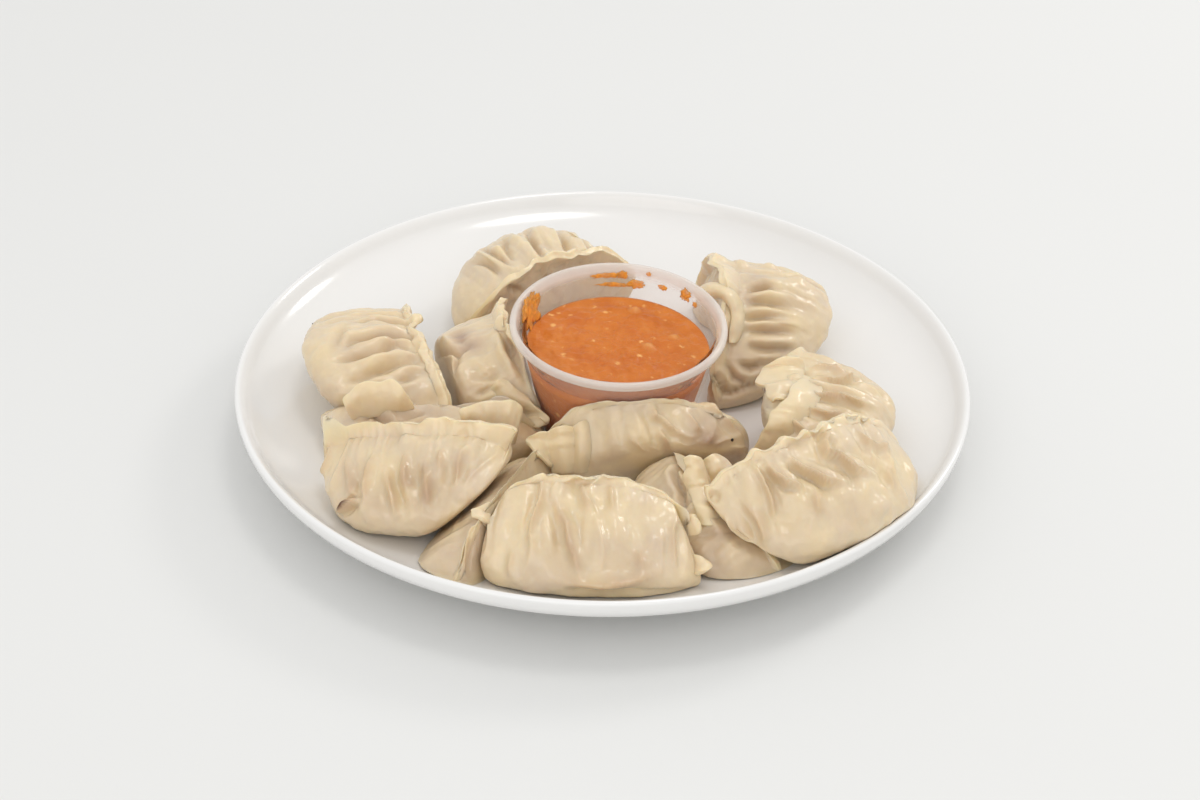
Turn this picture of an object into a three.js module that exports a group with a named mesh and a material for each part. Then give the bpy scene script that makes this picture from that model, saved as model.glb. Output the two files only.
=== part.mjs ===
// A plate of momo: twelve pleated half-moon dumplings lying round a clear portion cup of orange dip,
// all on a white coupe plate.
//
// Units are millimetres and +Z is up. The origin is on the table, under the middle of the plate. The
// diner sits at -Y. Every momo is one closed solid: a thin dough skin over a soft filling, shut along a
// seam that stands up as a thin flange, with pleats down one side and a smooth skin down the other.

import * as THREE from "three";
import { mergeVertices } from "three/addons/utils/BufferGeometryUtils.js";

// ---------------------------------------------------------------- driving dimensions

// The plate: a ten inch coupe, one continuous curve from a flat middle to a thin round lip.
const PLATE = {
  radius: 128,
  height: 25,
  wall: 3.4,
  lipRound: 1.2,
  middle: 38,
  floor: 6.2,
  footRadius: 66,
  footWidth: 5,
  segments: 48,
  curveSteps: 6,
  curveTurn: 1.4,
};

// The portion cup: four ounces, thin clear polypropylene with a rolled lip.
const CUP = {
  x: 4,
  y: -12,
  height: 45,
  baseRadius: 25,
  mouthRadius: 35,
  lipRadius: 37,
  lipHeight: 3,
  wall: 0.9,
  floor: 1.2,
  stackStep: 0.7,
  stackDrop: 8,
  tiltForward: 2,
  tiltRight: 1.5,
  segments: 28,
};

// The dip, filled to this far below the lip, with a low mound in its middle.
const DIP = {
  belowLip: 12,
  mound: 1.1,
  rings: 2,
};

// What touching pieces keep between them.
const GAP = 0.3;

// The dough that every momo is made of: how finely it is divided around and along, and how much closer
// the divisions stand towards the tips (endsFiner), the flange's half thickness at its edge and at its
// root, the most of the momo's height that it takes, how far its edge waves, how deep and steep the
// pleats are, how unevenly they are spaced, where on the side they begin, and how lumpy the filling makes
// the skin. edgeAt and rootAt are where the flange's round edge and its root lie on the way down one
// side, from 0 at the top to 1 at the base.
const DOUGH = {
  around: 16,
  along: 30,
  endsFiner: 0.35,
  edgeHalf: 1.1,
  rootHalf: 1.87,
  flangeShare: 0.4,
  edgeWave: 0.9,
  pleatDepth: 2.3,
  pleatSteep: 0.3,
  pleatDrift: 0.22,
  pleatStart: 0.35,
  lump: 0.7,
  edgeAt: 0.0625,
  rootAt: 0.19,
};

// Exponents of a momo's outlines: how blunt the belly and the base are lengthways, how the arch drops to
// the tips, how low and how flat the belly hangs on the side, and how the side slopes to the base.
const OUTLINE = { belly: 2.6, base: 4, arch: 0.6, low: 1.1, flat: 1.15, slope: 0.74 };

// Every momo: where its base lies, which way its seam runs (heading, degrees from +X), how far the
// seam leans to the smooth side (lean), how far its +X end is lifted (tilt), its own size, the bulge of
// its pleated and smooth sides, how far the crescent bends, its pleats and their slant, how square its
// arched outline is (arch), how high its two tips are and how high its flange stands, how well it holds
// its shape against others (firm), and the flaps where the flange stands wider, folds over and is drawn
// out along the seam.
const MOMOS = [
  {
    name: "momo_front", at: [-5, -100, 5], heading: -3, lean: 25, tilt: 0,
    length: 85, height: 39, pleated: 21, smooth: 13, bend: 6, pleats: 7, slant: 0.1, arch: 2.6,
    tips: [24, 12], flange: 2.5, seed: 1, firm: 1,
    flaps: [
      { at: -0.93, wide: 0.2, high: 5, fold: -3, out: -9 },
      { at: 0.84, wide: 0.16, high: 3, fold: -4, out: 5 },
    ],
  },
  {
    name: "momo_front_left", at: [-57.5, -74, 9], heading: -13, lean: 22, tilt: 12,
    length: 64, height: 37, pleated: 21, smooth: 11, bend: 4, pleats: 7, slant: -0.1, arch: 3.6,
    tips: [32, 28], flange: 5, seed: 2, firm: 1,
    flaps: [
      { at: -0.85, wide: 0.16, high: 8, fold: 2, out: -2 },
      { at: 0.9, wide: 0.15, high: 1, fold: -2, out: 6 },
    ],
  },
  {
    name: "momo_front_right", at: [72, -77.5, 9.5], heading: 31, lean: 20, tilt: 4,
    length: 77, height: 40, pleated: 22, smooth: 13, bend: 7, pleats: 7, slant: 0.5, arch: 2.6,
    tips: [25, 16], flange: 2.2, seed: 3, firm: 1,
    flaps: [{ at: -0.95, wide: 0.1, high: 3, fold: 0, out: 0 }],
  },
  {
    name: "momo_under_left", at: [-31, -81, 5], heading: 67, lean: -10, tilt: -2,
    length: 68, height: 34, pleated: 18, smooth: 26, bend: 4, pleats: 6, slant: 0.2, arch: 2.6,
    tips: [12, 12], flange: 4, seed: 4, firm: 1.2,
    flaps: [],
  },
  {
    name: "momo_under_right", at: [36, -74, 6], heading: -58, lean: 10, tilt: 0,
    length: 66, height: 31, pleated: 22, smooth: 20, bend: 3, pleats: 5, slant: 0.3, arch: 2.6,
    tips: [16, 8], flange: 5, seed: 5, firm: 1.7,
    flaps: [{ at: -0.35, wide: 0.5, high: 4, fold: -2, out: 0 }],
  },
  {
    name: "momo_centre", at: [10, -51, 3], heading: 7, lean: 14, tilt: 12,
    length: 92, height: 41, pleated: 15, smooth: 12, bend: 10, pleats: 7, slant: 0.6, arch: 1.9,
    tips: [6, 6], flange: 2.2, seed: 6, firm: 1,
    flaps: [{ at: -0.95, wide: 0.18, high: 3, fold: 0, out: -4 }],
  },
  {
    name: "momo_behind_left", at: [-59, -44, 9], heading: 174, lean: -50, tilt: 0,
    length: 78, height: 33, pleated: 12, smooth: 16, bend: -4, pleats: 6, slant: 0, arch: 3.6,
    tips: [18, 20], flange: 5, seed: 7, firm: 1.6,
    flaps: [
      { at: 0.4, wide: 0.34, high: 14, fold: 3, out: 0 },
      { at: -0.55, wide: 0.38, high: 14, fold: 3, out: -3 },
    ],
  },
  {
    name: "momo_left", at: [-82, -2, 5], heading: -72, lean: 38, tilt: 0,
    length: 80, height: 35, pleated: 30, smooth: 12, bend: 12, pleats: 7, slant: 0.1, arch: 3.6,
    tips: [20, 16], flange: 3, seed: 8, firm: 0.85,
    flaps: [],
  },
  {
    name: "momo_middle_left", at: [-41, 0, 5], heading: 111, lean: -20, tilt: 0,
    length: 64, height: 36, pleated: 12, smooth: 25, bend: -14, pleats: 6, slant: 0, arch: 2.6,
    tips: [26, 18], flange: 4, seed: 9, firm: 0.9,
    flaps: [
      { at: -0.82, wide: 0.3, high: 4, fold: -14, out: -4 },
      { at: 0.8, wide: 0.15, high: 3, fold: 0, out: 0 },
    ],
  },
  {
    name: "momo_back_left", at: [-28, 62, 5], heading: 211, lean: 31, tilt: 0,
    length: 72, height: 42, pleated: 26, smooth: 9, bend: 10, pleats: 7, slant: 0, arch: 2.6,
    tips: [22, 16], flange: 7, seed: 10, firm: 1,
    flaps: [{ at: -0.1, wide: 0.35, high: 2, fold: 3, out: 0 }],
  },
  {
    name: "momo_back_right", at: [57, 36, 4], heading: 95, lean: 26, tilt: 0,
    length: 70, height: 45, pleated: 26, smooth: 16, bend: 22, pleats: 8, slant: 0, arch: 2.2,
    tips: [14, 8], flange: 6, seed: 11, firm: 1,
    flaps: [{ at: 0.1, wide: 0.5, high: 0, fold: 5, out: 0 }],
  },
  {
    name: "momo_right", at: [79, -31, 4], heading: 73, lean: 30, tilt: 0,
    length: 72, height: 43, pleated: 24, smooth: 10, bend: 9, pleats: 7, slant: 0.1, arch: 3,
    tips: [14, 14], flange: 3.5, seed: 12, firm: 1,
    flaps: [
      { at: 0.2, wide: 0.5, high: -2, fold: 26, out: 0 },
      { at: -0.6, wide: 0.4, high: 0, fold: 13, out: 0 },
    ],
  },
];

// How thick a layer of dough gives way where a momo is pressed: soft against soft, soft against hard.
const GIVE = { momo: 4, cup: 3, plate: 2 };

// The line through the middle of a belly: how far it runs towards the tips, how high it lies, how much
// the belly tapers along it, and how many steps find where two of these lines come closest.
const SPINE = { reach: 0.6, height: 0.38, taper: 0.45, walk: 40 };

// ---------------------------------------------------------------- materials

const MATERIALS = {
  plate: new THREE.MeshStandardMaterial({ color: 0xf4f4f3, roughness: 0.18, metalness: 0 }),
  cup: new THREE.MeshStandardMaterial({ color: 0xe9e2dc, roughness: 0.3, metalness: 0 }),
  dip: new THREE.MeshStandardMaterial({ color: 0xd27e3f, roughness: 0.4, metalness: 0 }),
  dough: new THREE.MeshStandardMaterial({ color: 0xdcc8a4, roughness: 0.4, metalness: 0 }),
};

const root = new THREE.Group();

function addPiece(name, geometry, material, parent = root) {
  const mesh = new THREE.Mesh(geometry, material);
  mesh.name = name;
  parent.add(mesh);
  return mesh;
}

// ---------------------------------------------------------------- shared geometry helpers

const radians = THREE.MathUtils.degToRad;
const clamp = THREE.MathUtils.clamp;

// A solid of revolution round Z from profile points [radius, height] that run up the outside first.
function turned(profile, segments) {
  const points = profile.map(([radius, height]) => new THREE.Vector2(radius, height));
  const geometry = new THREE.LatheGeometry(points, segments);
  geometry.rotateX(Math.PI / 2);
  return geometry;
}

// Squeezes a distance towards a limit: far inside it is unchanged, and it never passes the limit.
function giveWay(distance, limit, give) {
  const free = limit - give;
  if (distance <= free) {
    return distance;
  }
  return limit - give * Math.exp(-(distance - free) / give);
}

// A smooth bump of height 1 and half-width 1, zero outside.
function bump(x) {
  const inside = Math.max(0, 1 - x * x);
  return inside * inside;
}

// ---------------------------------------------------------------- plate

// The plate's upper surface from the middle outwards, as [radius, height]: a quarter of an ellipse.
function plateCurve() {
  const reach = PLATE.radius - PLATE.wall - PLATE.middle;
  const rise = PLATE.height - 1 - PLATE.floor;
  const curve = [];
  for (let step = 0; step <= PLATE.curveSteps; step += 1) {
    const turn = (step / PLATE.curveSteps) * PLATE.curveTurn;
    curve.push([PLATE.middle + reach * Math.sin(turn), PLATE.floor + rise * (1 - Math.cos(turn))]);
  }
  return curve;
}

const PLATE_CURVE = plateCurve();
const PLATE_LIP = [PLATE.radius - PLATE.lipRound, PLATE.height];

// Height of the faceted upper surface, at its highest round the plate, for a point at this radius.
function plateTop(radius) {
  const surface = [...PLATE_CURVE, PLATE_LIP];
  const reach = radius / Math.cos(Math.PI / PLATE.segments);
  const outer = surface.findIndex(([r]) => r > reach);
  if (outer < 0) {
    return PLATE.height;
  }
  if (outer === 0) {
    return PLATE.floor;
  }
  const [from, to] = surface.slice(outer - 1, outer + 1);
  return from[1] + ((to[1] - from[1]) * (reach - from[0])) / (to[0] - from[0]);
}

function plateProfile() {
  const { radius, height, wall, floor, lipRound, footRadius, footWidth } = PLATE;
  const rim = PLATE_CURVE.length - 1;
  // The underside follows the upper curve, a wall further out and further down.
  const under = PLATE_CURVE.slice(2, rim).map(([r, z]) => [r + wall * 0.6, z - wall]);
  return [
    [0, floor - wall],
    [footRadius - footWidth, floor - wall],
    [footRadius - footWidth + 1, 0],
    [footRadius, 0],
    [footRadius + 1.5, floor - wall],
    ...under,
    [radius, height - 5],
    [radius, height - lipRound],
    PLATE_LIP,
    ...PLATE_CURVE.slice().reverse(),
    [0, floor],
  ];
}

function addPlate() {
  addPiece("plate", turned(plateProfile(), PLATE.segments), MATERIALS.plate);
}

// ---------------------------------------------------------------- cup and dip

// The cup's outer radius at a height above its own base.
function cupOuter(height) {
  const wallTop = CUP.height - CUP.lipHeight;
  if (height > wallTop - 1) {
    return CUP.lipRadius;
  }
  return CUP.baseRadius + (CUP.mouthRadius - CUP.baseRadius) * clamp(height / wallTop, 0, 1);
}

// The cup's inner radius at a height, under the step that cups stack on.
function cupInner(height) {
  return CUP.baseRadius + (CUP.mouthRadius - CUP.baseRadius) * (height / CUP.height) - CUP.wall;
}

function cupProfile() {
  const { height, baseRadius, mouthRadius, lipRadius, lipHeight, wall, floor, stackStep, stackDrop } = CUP;
  const stepAt = height - stackDrop;
  return [
    [0, 0.5],
    [baseRadius - 3, 0.5],
    [baseRadius - 2, 0],
    [baseRadius - 0.6, 0],
    [baseRadius, 0.8],
    [mouthRadius, height - lipHeight],
    [lipRadius, height - lipHeight + 0.3],
    [lipRadius, height - 0.9],
    [lipRadius - 0.8, height],
    [mouthRadius, height - 0.2],
    [mouthRadius - wall + 0.3, height - 1.4],
    [cupInner(stepAt) + stackStep * 0.5, stepAt + 0.4],
    [cupInner(stepAt) - 0.1, stepAt - 0.6],
    [cupInner(floor + 1.5), floor + 1.5],
    [cupInner(floor) - 1.2, floor],
    [0, floor],
  ];
}

function dipProfile() {
  const level = CUP.height - DIP.belowLip;
  const base = CUP.floor + GAP;
  const profile = [
    [0, base],
    [cupInner(base) - 1.5 - GAP, base],
    [cupInner(base + 1.7) - GAP * 1.4, base + 1.7],
    [cupInner(level) - GAP * 1.4, level + 0.3],
  ];
  for (let ring = 1; ring <= DIP.rings; ring += 1) {
    const share = 1 - ring / (DIP.rings + 1);
    profile.push([cupInner(level) * share, level + DIP.mound * (1 - share * share)]);
  }
  profile.push([0, level + DIP.mound]);
  return profile;
}

// The cup stands on the plate's floor, tipped a little towards the diner and to the right.
function makeCupGroup() {
  const group = new THREE.Group();
  group.rotation.set(radians(CUP.tiltForward), radians(CUP.tiltRight), 0);
  const lowest = CUP.baseRadius * Math.hypot(Math.sin(group.rotation.x), Math.sin(group.rotation.y));
  group.position.set(CUP.x, CUP.y, PLATE.floor + GAP + lowest);
  group.updateMatrixWorld(true);
  root.add(group);
  return group;
}

const cupGroup = makeCupGroup();

function addCupAndDip() {
  addPiece("dip_cup", turned(cupProfile(), CUP.segments), MATERIALS.cup, cupGroup);
  addPiece("dip", turned(dipProfile(), CUP.segments), MATERIALS.dip, cupGroup);
}

// ---------------------------------------------------------------- one momo in its own frame

// A few slow waves, different for every seed, between about -1 and 1.
function wander(seed, u, v) {
  return (
    0.5 * Math.sin(2.3 * u + 1.7 * seed + 0.8 * v) +
    0.3 * Math.sin(3.9 * v + 2.9 * seed - 1.3 * u) +
    0.2 * Math.sin(6.1 * u + 4.3 * v + 5.1 * seed)
  );
}

// One pleat after another along the seam: each rises slowly and drops steeply, as folded dough does.
function pleatWave(count) {
  const phase = count - Math.floor(count);
  const slow = 1 - DOUGH.pleatSteep;
  const rise = phase < slow
    ? phase / slow
    : (1 - phase) / DOUGH.pleatSteep;
  return rise - 0.5;
}

// The lengthways outlines at t: how full the belly is, and the heights of the base and the arched crest.
function outlineAt(momo, t) {
  const reach = Math.abs(t);
  const tip = t < 0
    ? momo.tips[0]
    : momo.tips[1];
  const full = Math.sqrt(1 - reach ** OUTLINE.belly);
  const base = tip * (1 - Math.sqrt(1 - reach ** OUTLINE.base));
  const crest = tip + (momo.height - tip) * (1 - reach ** momo.arch) ** OUTLINE.arch;
  return { full, base, crest };
}

// The flange at t: the height of its root, how high it stands on it, and how far a flap folds it over and
// draws it out along the seam.
function flangeAt(momo, t, { full, base, crest }) {
  const plain = Math.min(momo.flange, DOUGH.flangeShare * (crest - base));
  let high = plain;
  let fold = 0;
  let out = 0;
  for (const flap of momo.flaps) {
    const share = bump((t - flap.at) / flap.wide) * Math.min(1, 3 * full);
    high += flap.high * share;
    fold += flap.fold * share;
    out += flap.out * share;
  }
  return { root: crest - plain, high, fold, out };
}

// How far the crescent bends away from its pleated side at t, its ends more than its middle.
function crescent(momo, t) {
  return momo.bend * (t * t - 0.35);
}

// The point of a momo's skin at t, from -1 to 1 along its length, and at turn, from 0 at the seam's
// edge over the pleated side (below pi) and back up the smooth side (above pi).
// The seam runs along x, the pleated side faces -y, and the base lies at z = 0.
function momoPoint(momo, t, turn) {
  const pleatedSide = turn < Math.PI;
  const outward = pleatedSide
    ? -1
    : 1;
  const down = (pleatedSide ? turn : 2 * Math.PI - turn) / Math.PI;
  const outline = outlineAt(momo, t);
  const { full, base } = outline;
  const { root: shoulder, high, fold, out } = flangeAt(momo, t, outline);
  const thin = Math.min(1, 2.5 * full);
  const count = ((t + 1) / 2) * momo.pleats + DOUGH.pleatDrift * Math.sin(5 * t + momo.seed);
  const point = new THREE.Vector3((momo.length / 2) * t, crescent(momo, t), 0);

  if (down < DOUGH.rootAt) {
    // The thin standing flange, from its root at edge 0 to its wavy top at edge 1.
    const edge = clamp((DOUGH.rootAt - down) / (DOUGH.rootAt - DOUGH.edgeAt), 0, 1);
    const round = Math.sin((Math.PI / 2) * Math.min(1, down / DOUGH.edgeAt));
    const half = DOUGH.edgeHalf + (DOUGH.rootHalf - DOUGH.edgeHalf) * (1 - edge);
    point.y += outward * half * thin * round + fold * edge ** 1.5;
    point.y += DOUGH.edgeWave * edge * full * Math.sin(Math.PI * count);
    point.x += out * edge;
    point.z = shoulder + high * edge;
    return point;
  }

  // The side, from the flange's root at q 0 to the middle of the base at q 1.
  const q = (down - DOUGH.rootAt) / (1 - DOUGH.rootAt);
  const width = pleatedSide
    ? momo.pleated
    : momo.smooth;
  const belly = width * Math.sin(Math.PI * q ** OUTLINE.low) ** OUTLINE.flat;
  const folded = pleatedSide
    ? DOUGH.pleatDepth * Math.sin(Math.PI * Math.min(1, q + DOUGH.pleatStart)) ** 2
    : 0;
  const pleats = folded * pleatWave(count + 2 * momo.slant * q);
  const lump = DOUGH.lump * wander(momo.seed, 2 * t, outward * q * 3) * Math.sin(Math.PI * q);
  const half = DOUGH.rootHalf * (1 - q) * thin;
  point.y += outward * (half + full * (belly + pleats + lump));
  point.z = base + (shoulder - base) * (0.5 + 0.5 * Math.cos(Math.PI * q ** OUTLINE.slope));
  return point;
}

// ---------------------------------------------------------------- how the momos lie and press

function momoMatrix(momo) {
  const turn = new THREE.Euler(radians(-momo.lean), radians(-momo.tilt), radians(momo.heading), "ZYX");
  const matrix = new THREE.Matrix4().makeRotationFromEuler(turn);
  matrix.setPosition(...momo.at);
  return matrix;
}

// The line through the middle of a momo's belly, as a segment, with the room the belly claims round it.
function spineOf(momo) {
  const matrix = momoMatrix(momo);
  const ends = [-SPINE.reach, SPINE.reach].map((t) => {
    const y = (momo.smooth - momo.pleated) / 2 + crescent(momo, t);
    return new THREE.Vector3((momo.length / 2) * t, y, SPINE.height * momo.height).applyMatrix4(matrix);
  });
  return { segment: new THREE.Line3(...ends), radius: (momo.firm * (momo.smooth + momo.pleated)) / 2 };
}

// The belly's radius beside a point of its spine: it tapers towards both ends.
function spineRadius(spine, point) {
  const along = 2 * spine.segment.closestPointToPointParameter(point, true) - 1;
  return spine.radius * (1 - SPINE.taper * along * along);
}

// The closest points of two segments, found by walking from one to the other.
function closestPoints(first, second) {
  const onFirst = first.getCenter(new THREE.Vector3());
  const onSecond = new THREE.Vector3();
  for (let step = 0; step < SPINE.walk; step += 1) {
    second.closestPointToPoint(onFirst, true, onSecond);
    first.closestPointToPoint(onSecond, true, onFirst);
  }
  return [onFirst, onSecond];
}

// Two momos that meet are pressed flat on the plane between their bellies.
function contactPlane(momo, other) {
  const mine = spineOf(momo);
  const theirs = spineOf(other);
  const [from, to] = closestPoints(mine.segment, theirs.segment);
  const normal = to.clone().sub(from);
  const apart = normal.length();
  normal.normalize();
  const myRadius = spineRadius(mine, from);
  const share = myRadius / (myRadius + spineRadius(theirs, to));
  return { normal, limit: from.dot(normal) + apart * share - GAP };
}

function contactsOf(momo) {
  return MOMOS.filter((other) => other !== momo).map((other) => contactPlane(momo, other));
}

const cupInverse = cupGroup.matrixWorld.clone().invert();

// Presses a point of dough clear of its neighbours, the cup and the plate.
function pressed(point, contacts) {
  for (const contact of contacts) {
    const distance = point.dot(contact.normal);
    point.addScaledVector(contact.normal, giveWay(distance, contact.limit, GIVE.momo) - distance);
  }
  point.applyMatrix4(cupInverse);
  const radius = Math.hypot(point.x, point.y);
  const clear = -giveWay(-radius, -(cupOuter(point.z) + GAP), GIVE.cup);
  point.x *= clear / radius;
  point.y *= clear / radius;
  point.applyMatrix4(cupGroup.matrixWorld);
  const floor = plateTop(Math.hypot(point.x, point.y)) + GAP;
  point.z = -giveWay(-point.z, -floor, GIVE.plate);
}

function momoGeometry(momo) {
  const sphere = new THREE.SphereGeometry(1, DOUGH.around, DOUGH.along);
  sphere.deleteAttribute("normal");
  sphere.deleteAttribute("uv");
  const geometry = mergeVertices(sphere, 1e-4);
  const position = geometry.attributes.position;
  const matrix = momoMatrix(momo);
  const contacts = contactsOf(momo);
  const half = Math.PI / DOUGH.around;
  for (let i = 0; i < position.count; i += 1) {
    const polar = Math.acos(clamp(position.getY(i), -1, 1));
    const even = 1 - (2 * polar) / Math.PI;
    const t = even + DOUGH.endsFiner * (Math.cos(polar) - even);
    const around = Math.atan2(position.getZ(i), -position.getX(i));
    const turn = (around + half + 2 * Math.PI) % (2 * Math.PI);
    const point = momoPoint(momo, clamp(t, -1, 1), turn).applyMatrix4(matrix);
    pressed(point, contacts);
    position.setXYZ(i, point.x, point.y, point.z);
  }
  geometry.computeVertexNormals();
  return geometry;
}

function addMomos() {
  for (const momo of MOMOS) {
    addPiece(momo.name, momoGeometry(momo), MATERIALS.dough);
  }
}

addPlate();
addCupAndDip();
addMomos();

export default root;
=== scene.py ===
"""A plate of momo: twelve pleated dumplings round a clear cup of orange dip, on a white coupe plate.

Sizes are in millimetres until a mesh is finished, and in metres after that, in the part's own frame:
the origin is on the table under the middle of the plate, the diner sits at -Y, and +Z is up.
"""

import math
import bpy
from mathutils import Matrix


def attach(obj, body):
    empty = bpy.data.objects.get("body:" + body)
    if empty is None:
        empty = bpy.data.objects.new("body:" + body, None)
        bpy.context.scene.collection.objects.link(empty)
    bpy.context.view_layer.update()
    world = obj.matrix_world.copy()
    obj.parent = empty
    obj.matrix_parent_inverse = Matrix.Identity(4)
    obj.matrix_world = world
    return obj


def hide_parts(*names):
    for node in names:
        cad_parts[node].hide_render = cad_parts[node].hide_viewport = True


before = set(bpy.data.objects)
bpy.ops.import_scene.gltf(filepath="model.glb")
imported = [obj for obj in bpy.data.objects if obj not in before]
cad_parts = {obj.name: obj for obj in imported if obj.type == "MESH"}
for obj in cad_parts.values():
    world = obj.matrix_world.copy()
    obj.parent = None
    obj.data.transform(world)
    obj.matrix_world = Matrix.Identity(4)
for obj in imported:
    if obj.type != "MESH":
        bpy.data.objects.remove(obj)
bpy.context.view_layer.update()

from types import SimpleNamespace

import bmesh
import bpy
import numpy as np
from bpy.props import FloatProperty, FloatVectorProperty, IntProperty, PointerProperty
from mathutils import Euler, Matrix, Vector, noise

bl_info = {
    "name": "Plate of momo",
    "version": (1, 0, 0),
    "blender": (4, 5, 0),
    "location": "3D View > Sidebar > Momo",
    "description": "Makes a plate of pleated momo dumplings with a clear cup of orange dip",
    "category": "Add Mesh",
}

MM = 0.001

# What pieces of dough keep clear of what they touch, and what the cup's base keeps clear of the plate.
GAP, CUP_GAP = 0.06, 0.3
# How thick a layer of dough gives way where a momo is pressed by another, by the cup and by the plate.
GIVE_MOMO, GIVE_CUP, GIVE_PLATE = 4.0, 3.0, 2.0
# The line through the middle of a belly: how far it runs towards the tips, how high it lies, how much it
# tapers, and how many steps find where two of these lines come closest.
SPINE_REACH, SPINE_HEIGHT, SPINE_TAPER, SPINE_WALK = 0.6, 0.38, 0.45, 40
# Where the flange's round edge and its root lie on the way down one side, from 0 at the top to 1.
EDGE_AT, ROOT_AT = 0.0625, 0.19
# Exponents of a momo's outlines: how blunt the belly and the base are lengthways, how the arch drops to
# the tips, how low and how flat the belly hangs on the side, and how the side slopes to the base.
BELLY, BASE, ARCH, LOW, FLAT, SLOPE = 2.6, 4, 0.6, 1.1, 1.15, 0.74
# How unevenly the pleats are spaced, and where down the side they begin.
PLEAT_DRIFT, PLEAT_START = 0.22, 0.35
# How many short waves curl the flange's edge sideways and up and down, from tip to middle.
CURLS_ACROSS, CURLS_UP = 9, 11
# The fine wrinkles from tip to middle and from seam to base, and how far apart the soft folds fall.
WRINKLES_ALONG, WRINKLES_DOWN, DRAPE_EVERY = 24, 5, 15
# How near the corners of a square a flap's outline comes (1 reaches them), how deep and how far apart its
# soft folds are, and how ragged its free edge is.
FLAP_CORNER, FLAP_FOLD, FLAP_WAVE, FLAP_EDGE = 0.98, 1.1, 4, 0.2

Momo = SimpleNamespace

# Every momo: where its base lies, which way its seam runs (heading), how far the seam leans to the
# smooth side (lean) and its +X end is lifted (tilt), its size, the bulge of its pleated and smooth
# sides, how far the crescent bends, its pleats and their slant, how square the arch is, how high its two
# tips are, how firm it is, how deep its even pleats are, and its flaps as (at, wide, high, fold, out).
MOMOS = [
    Momo(name="front", at=(-5, -100, 5), heading=-3, lean=25, tilt=0, length=85, height=39, pleated=21,
         smooth=13, bend=6, pleats=7, slant=0.1, arch=2.6, tips=(24, 12), flange=2.5, seed=1, firm=1,
         pleating=0.35, flaps=[(-0.93, 0.2, 5, -3, -9), (0.84, 0.16, 3, -4, 5)]),
    Momo(name="front_left", at=(-57.5, -74, 9), heading=-13, lean=22, tilt=12, length=64, height=37,
         pleated=21, smooth=11, bend=4, pleats=7, slant=-0.1, arch=3.6, tips=(32, 28), flange=5, seed=2,
         firm=1, pleating=0.35, flaps=[(-0.85, 0.16, 8, 2, -2), (0.9, 0.15, 1, -2, 6)]),
    Momo(name="front_right", at=(72, -77.5, 9.5), heading=31, lean=20, tilt=4, length=77, height=40,
         pleated=22, smooth=13, bend=7, pleats=7, slant=0.5, arch=2.6, tips=(25, 16), flange=2.2, seed=3,
         firm=1, pleating=0.35, flaps=[(-0.95, 0.1, 3, 0, 0)]),
    Momo(name="under_left", at=(-31, -81, 5), heading=67, lean=-10, tilt=-2, length=68, height=34,
         pleated=18, smooth=26, bend=4, pleats=6, slant=0.2, arch=2.6, tips=(12, 12), flange=4, seed=4,
         firm=1.2, pleating=0.8, flaps=[]),
    Momo(name="under_right", at=(36, -74, 6), heading=-58, lean=10, tilt=0, length=66, height=31,
         pleated=22, smooth=20, bend=3, pleats=5, slant=0.3, arch=2.6, tips=(16, 8), flange=5, seed=5,
         firm=1.7, pleating=0.4, flaps=[(-0.35, 0.5, 4, -2, 0)]),
    Momo(name="centre", at=(10, -51, 3), heading=7, lean=14, tilt=12, length=92, height=41, pleated=15,
         smooth=12, bend=10, pleats=7, slant=0.6, arch=1.9, tips=(6, 6), flange=2.2, seed=6, firm=1,
         pleating=0.4, flaps=[(-0.95, 0.18, 3, 0, -4)]),
    Momo(name="behind_left", at=(-59, -44, 9), heading=174, lean=-50, tilt=0, length=78, height=33,
         pleated=12, smooth=16, bend=-4, pleats=6, slant=0, arch=3.6, tips=(18, 20), flange=5, seed=7,
         firm=1.6, pleating=0.6, flaps=[(0.4, 0.34, 14, 3, 0), (-0.55, 0.38, 14, 3, -3)]),
    Momo(name="left", at=(-82, -2, 5), heading=-72, lean=38, tilt=0, length=80, height=35, pleated=30,
         smooth=12, bend=12, pleats=7, slant=0.1, arch=3.6, tips=(20, 16), flange=3, seed=8, firm=0.85,
         pleating=0.35, flaps=[]),
    Momo(name="middle_left", at=(-41, 0, 5), heading=111, lean=-20, tilt=0, length=64, height=36,
         pleated=12, smooth=25, bend=-14, pleats=6, slant=0, arch=2.6, tips=(26, 18), flange=4, seed=9,
         firm=0.9, pleating=0.6, flaps=[(-0.82, 0.3, 4, -14, -4), (0.8, 0.15, 3, 0, 0)]),
    Momo(name="back_left", at=(-28, 62, 5), heading=211, lean=31, tilt=0, length=72, height=42, pleated=26,
         smooth=9, bend=10, pleats=7, slant=0, arch=2.6, tips=(22, 16), flange=7, seed=10, firm=1,
         pleating=0.4, flaps=[(-0.1, 0.35, 2, 3, 0)]),
    Momo(name="back_right", at=(57, 36, 4), heading=95, lean=26, tilt=0, length=70, height=45, pleated=26,
         smooth=16, bend=22, pleats=8, slant=0, arch=2.2, tips=(14, 8), flange=6, seed=11, firm=1,
         pleating=0.4, flaps=[(0.1, 0.5, 0, 5, 0)]),
    Momo(name="right", at=(79, -31, 4), heading=73, lean=30, tilt=0, length=72, height=43, pleated=24,
         smooth=10, bend=9, pleats=7, slant=0.1, arch=3, tips=(14, 14), flange=3.5, seed=12, firm=1,
         pleating=0.4, flaps=[(0.2, 0.5, -2, 26, 0), (-0.6, 0.4, 0, 13, 0)]),
]

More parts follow.
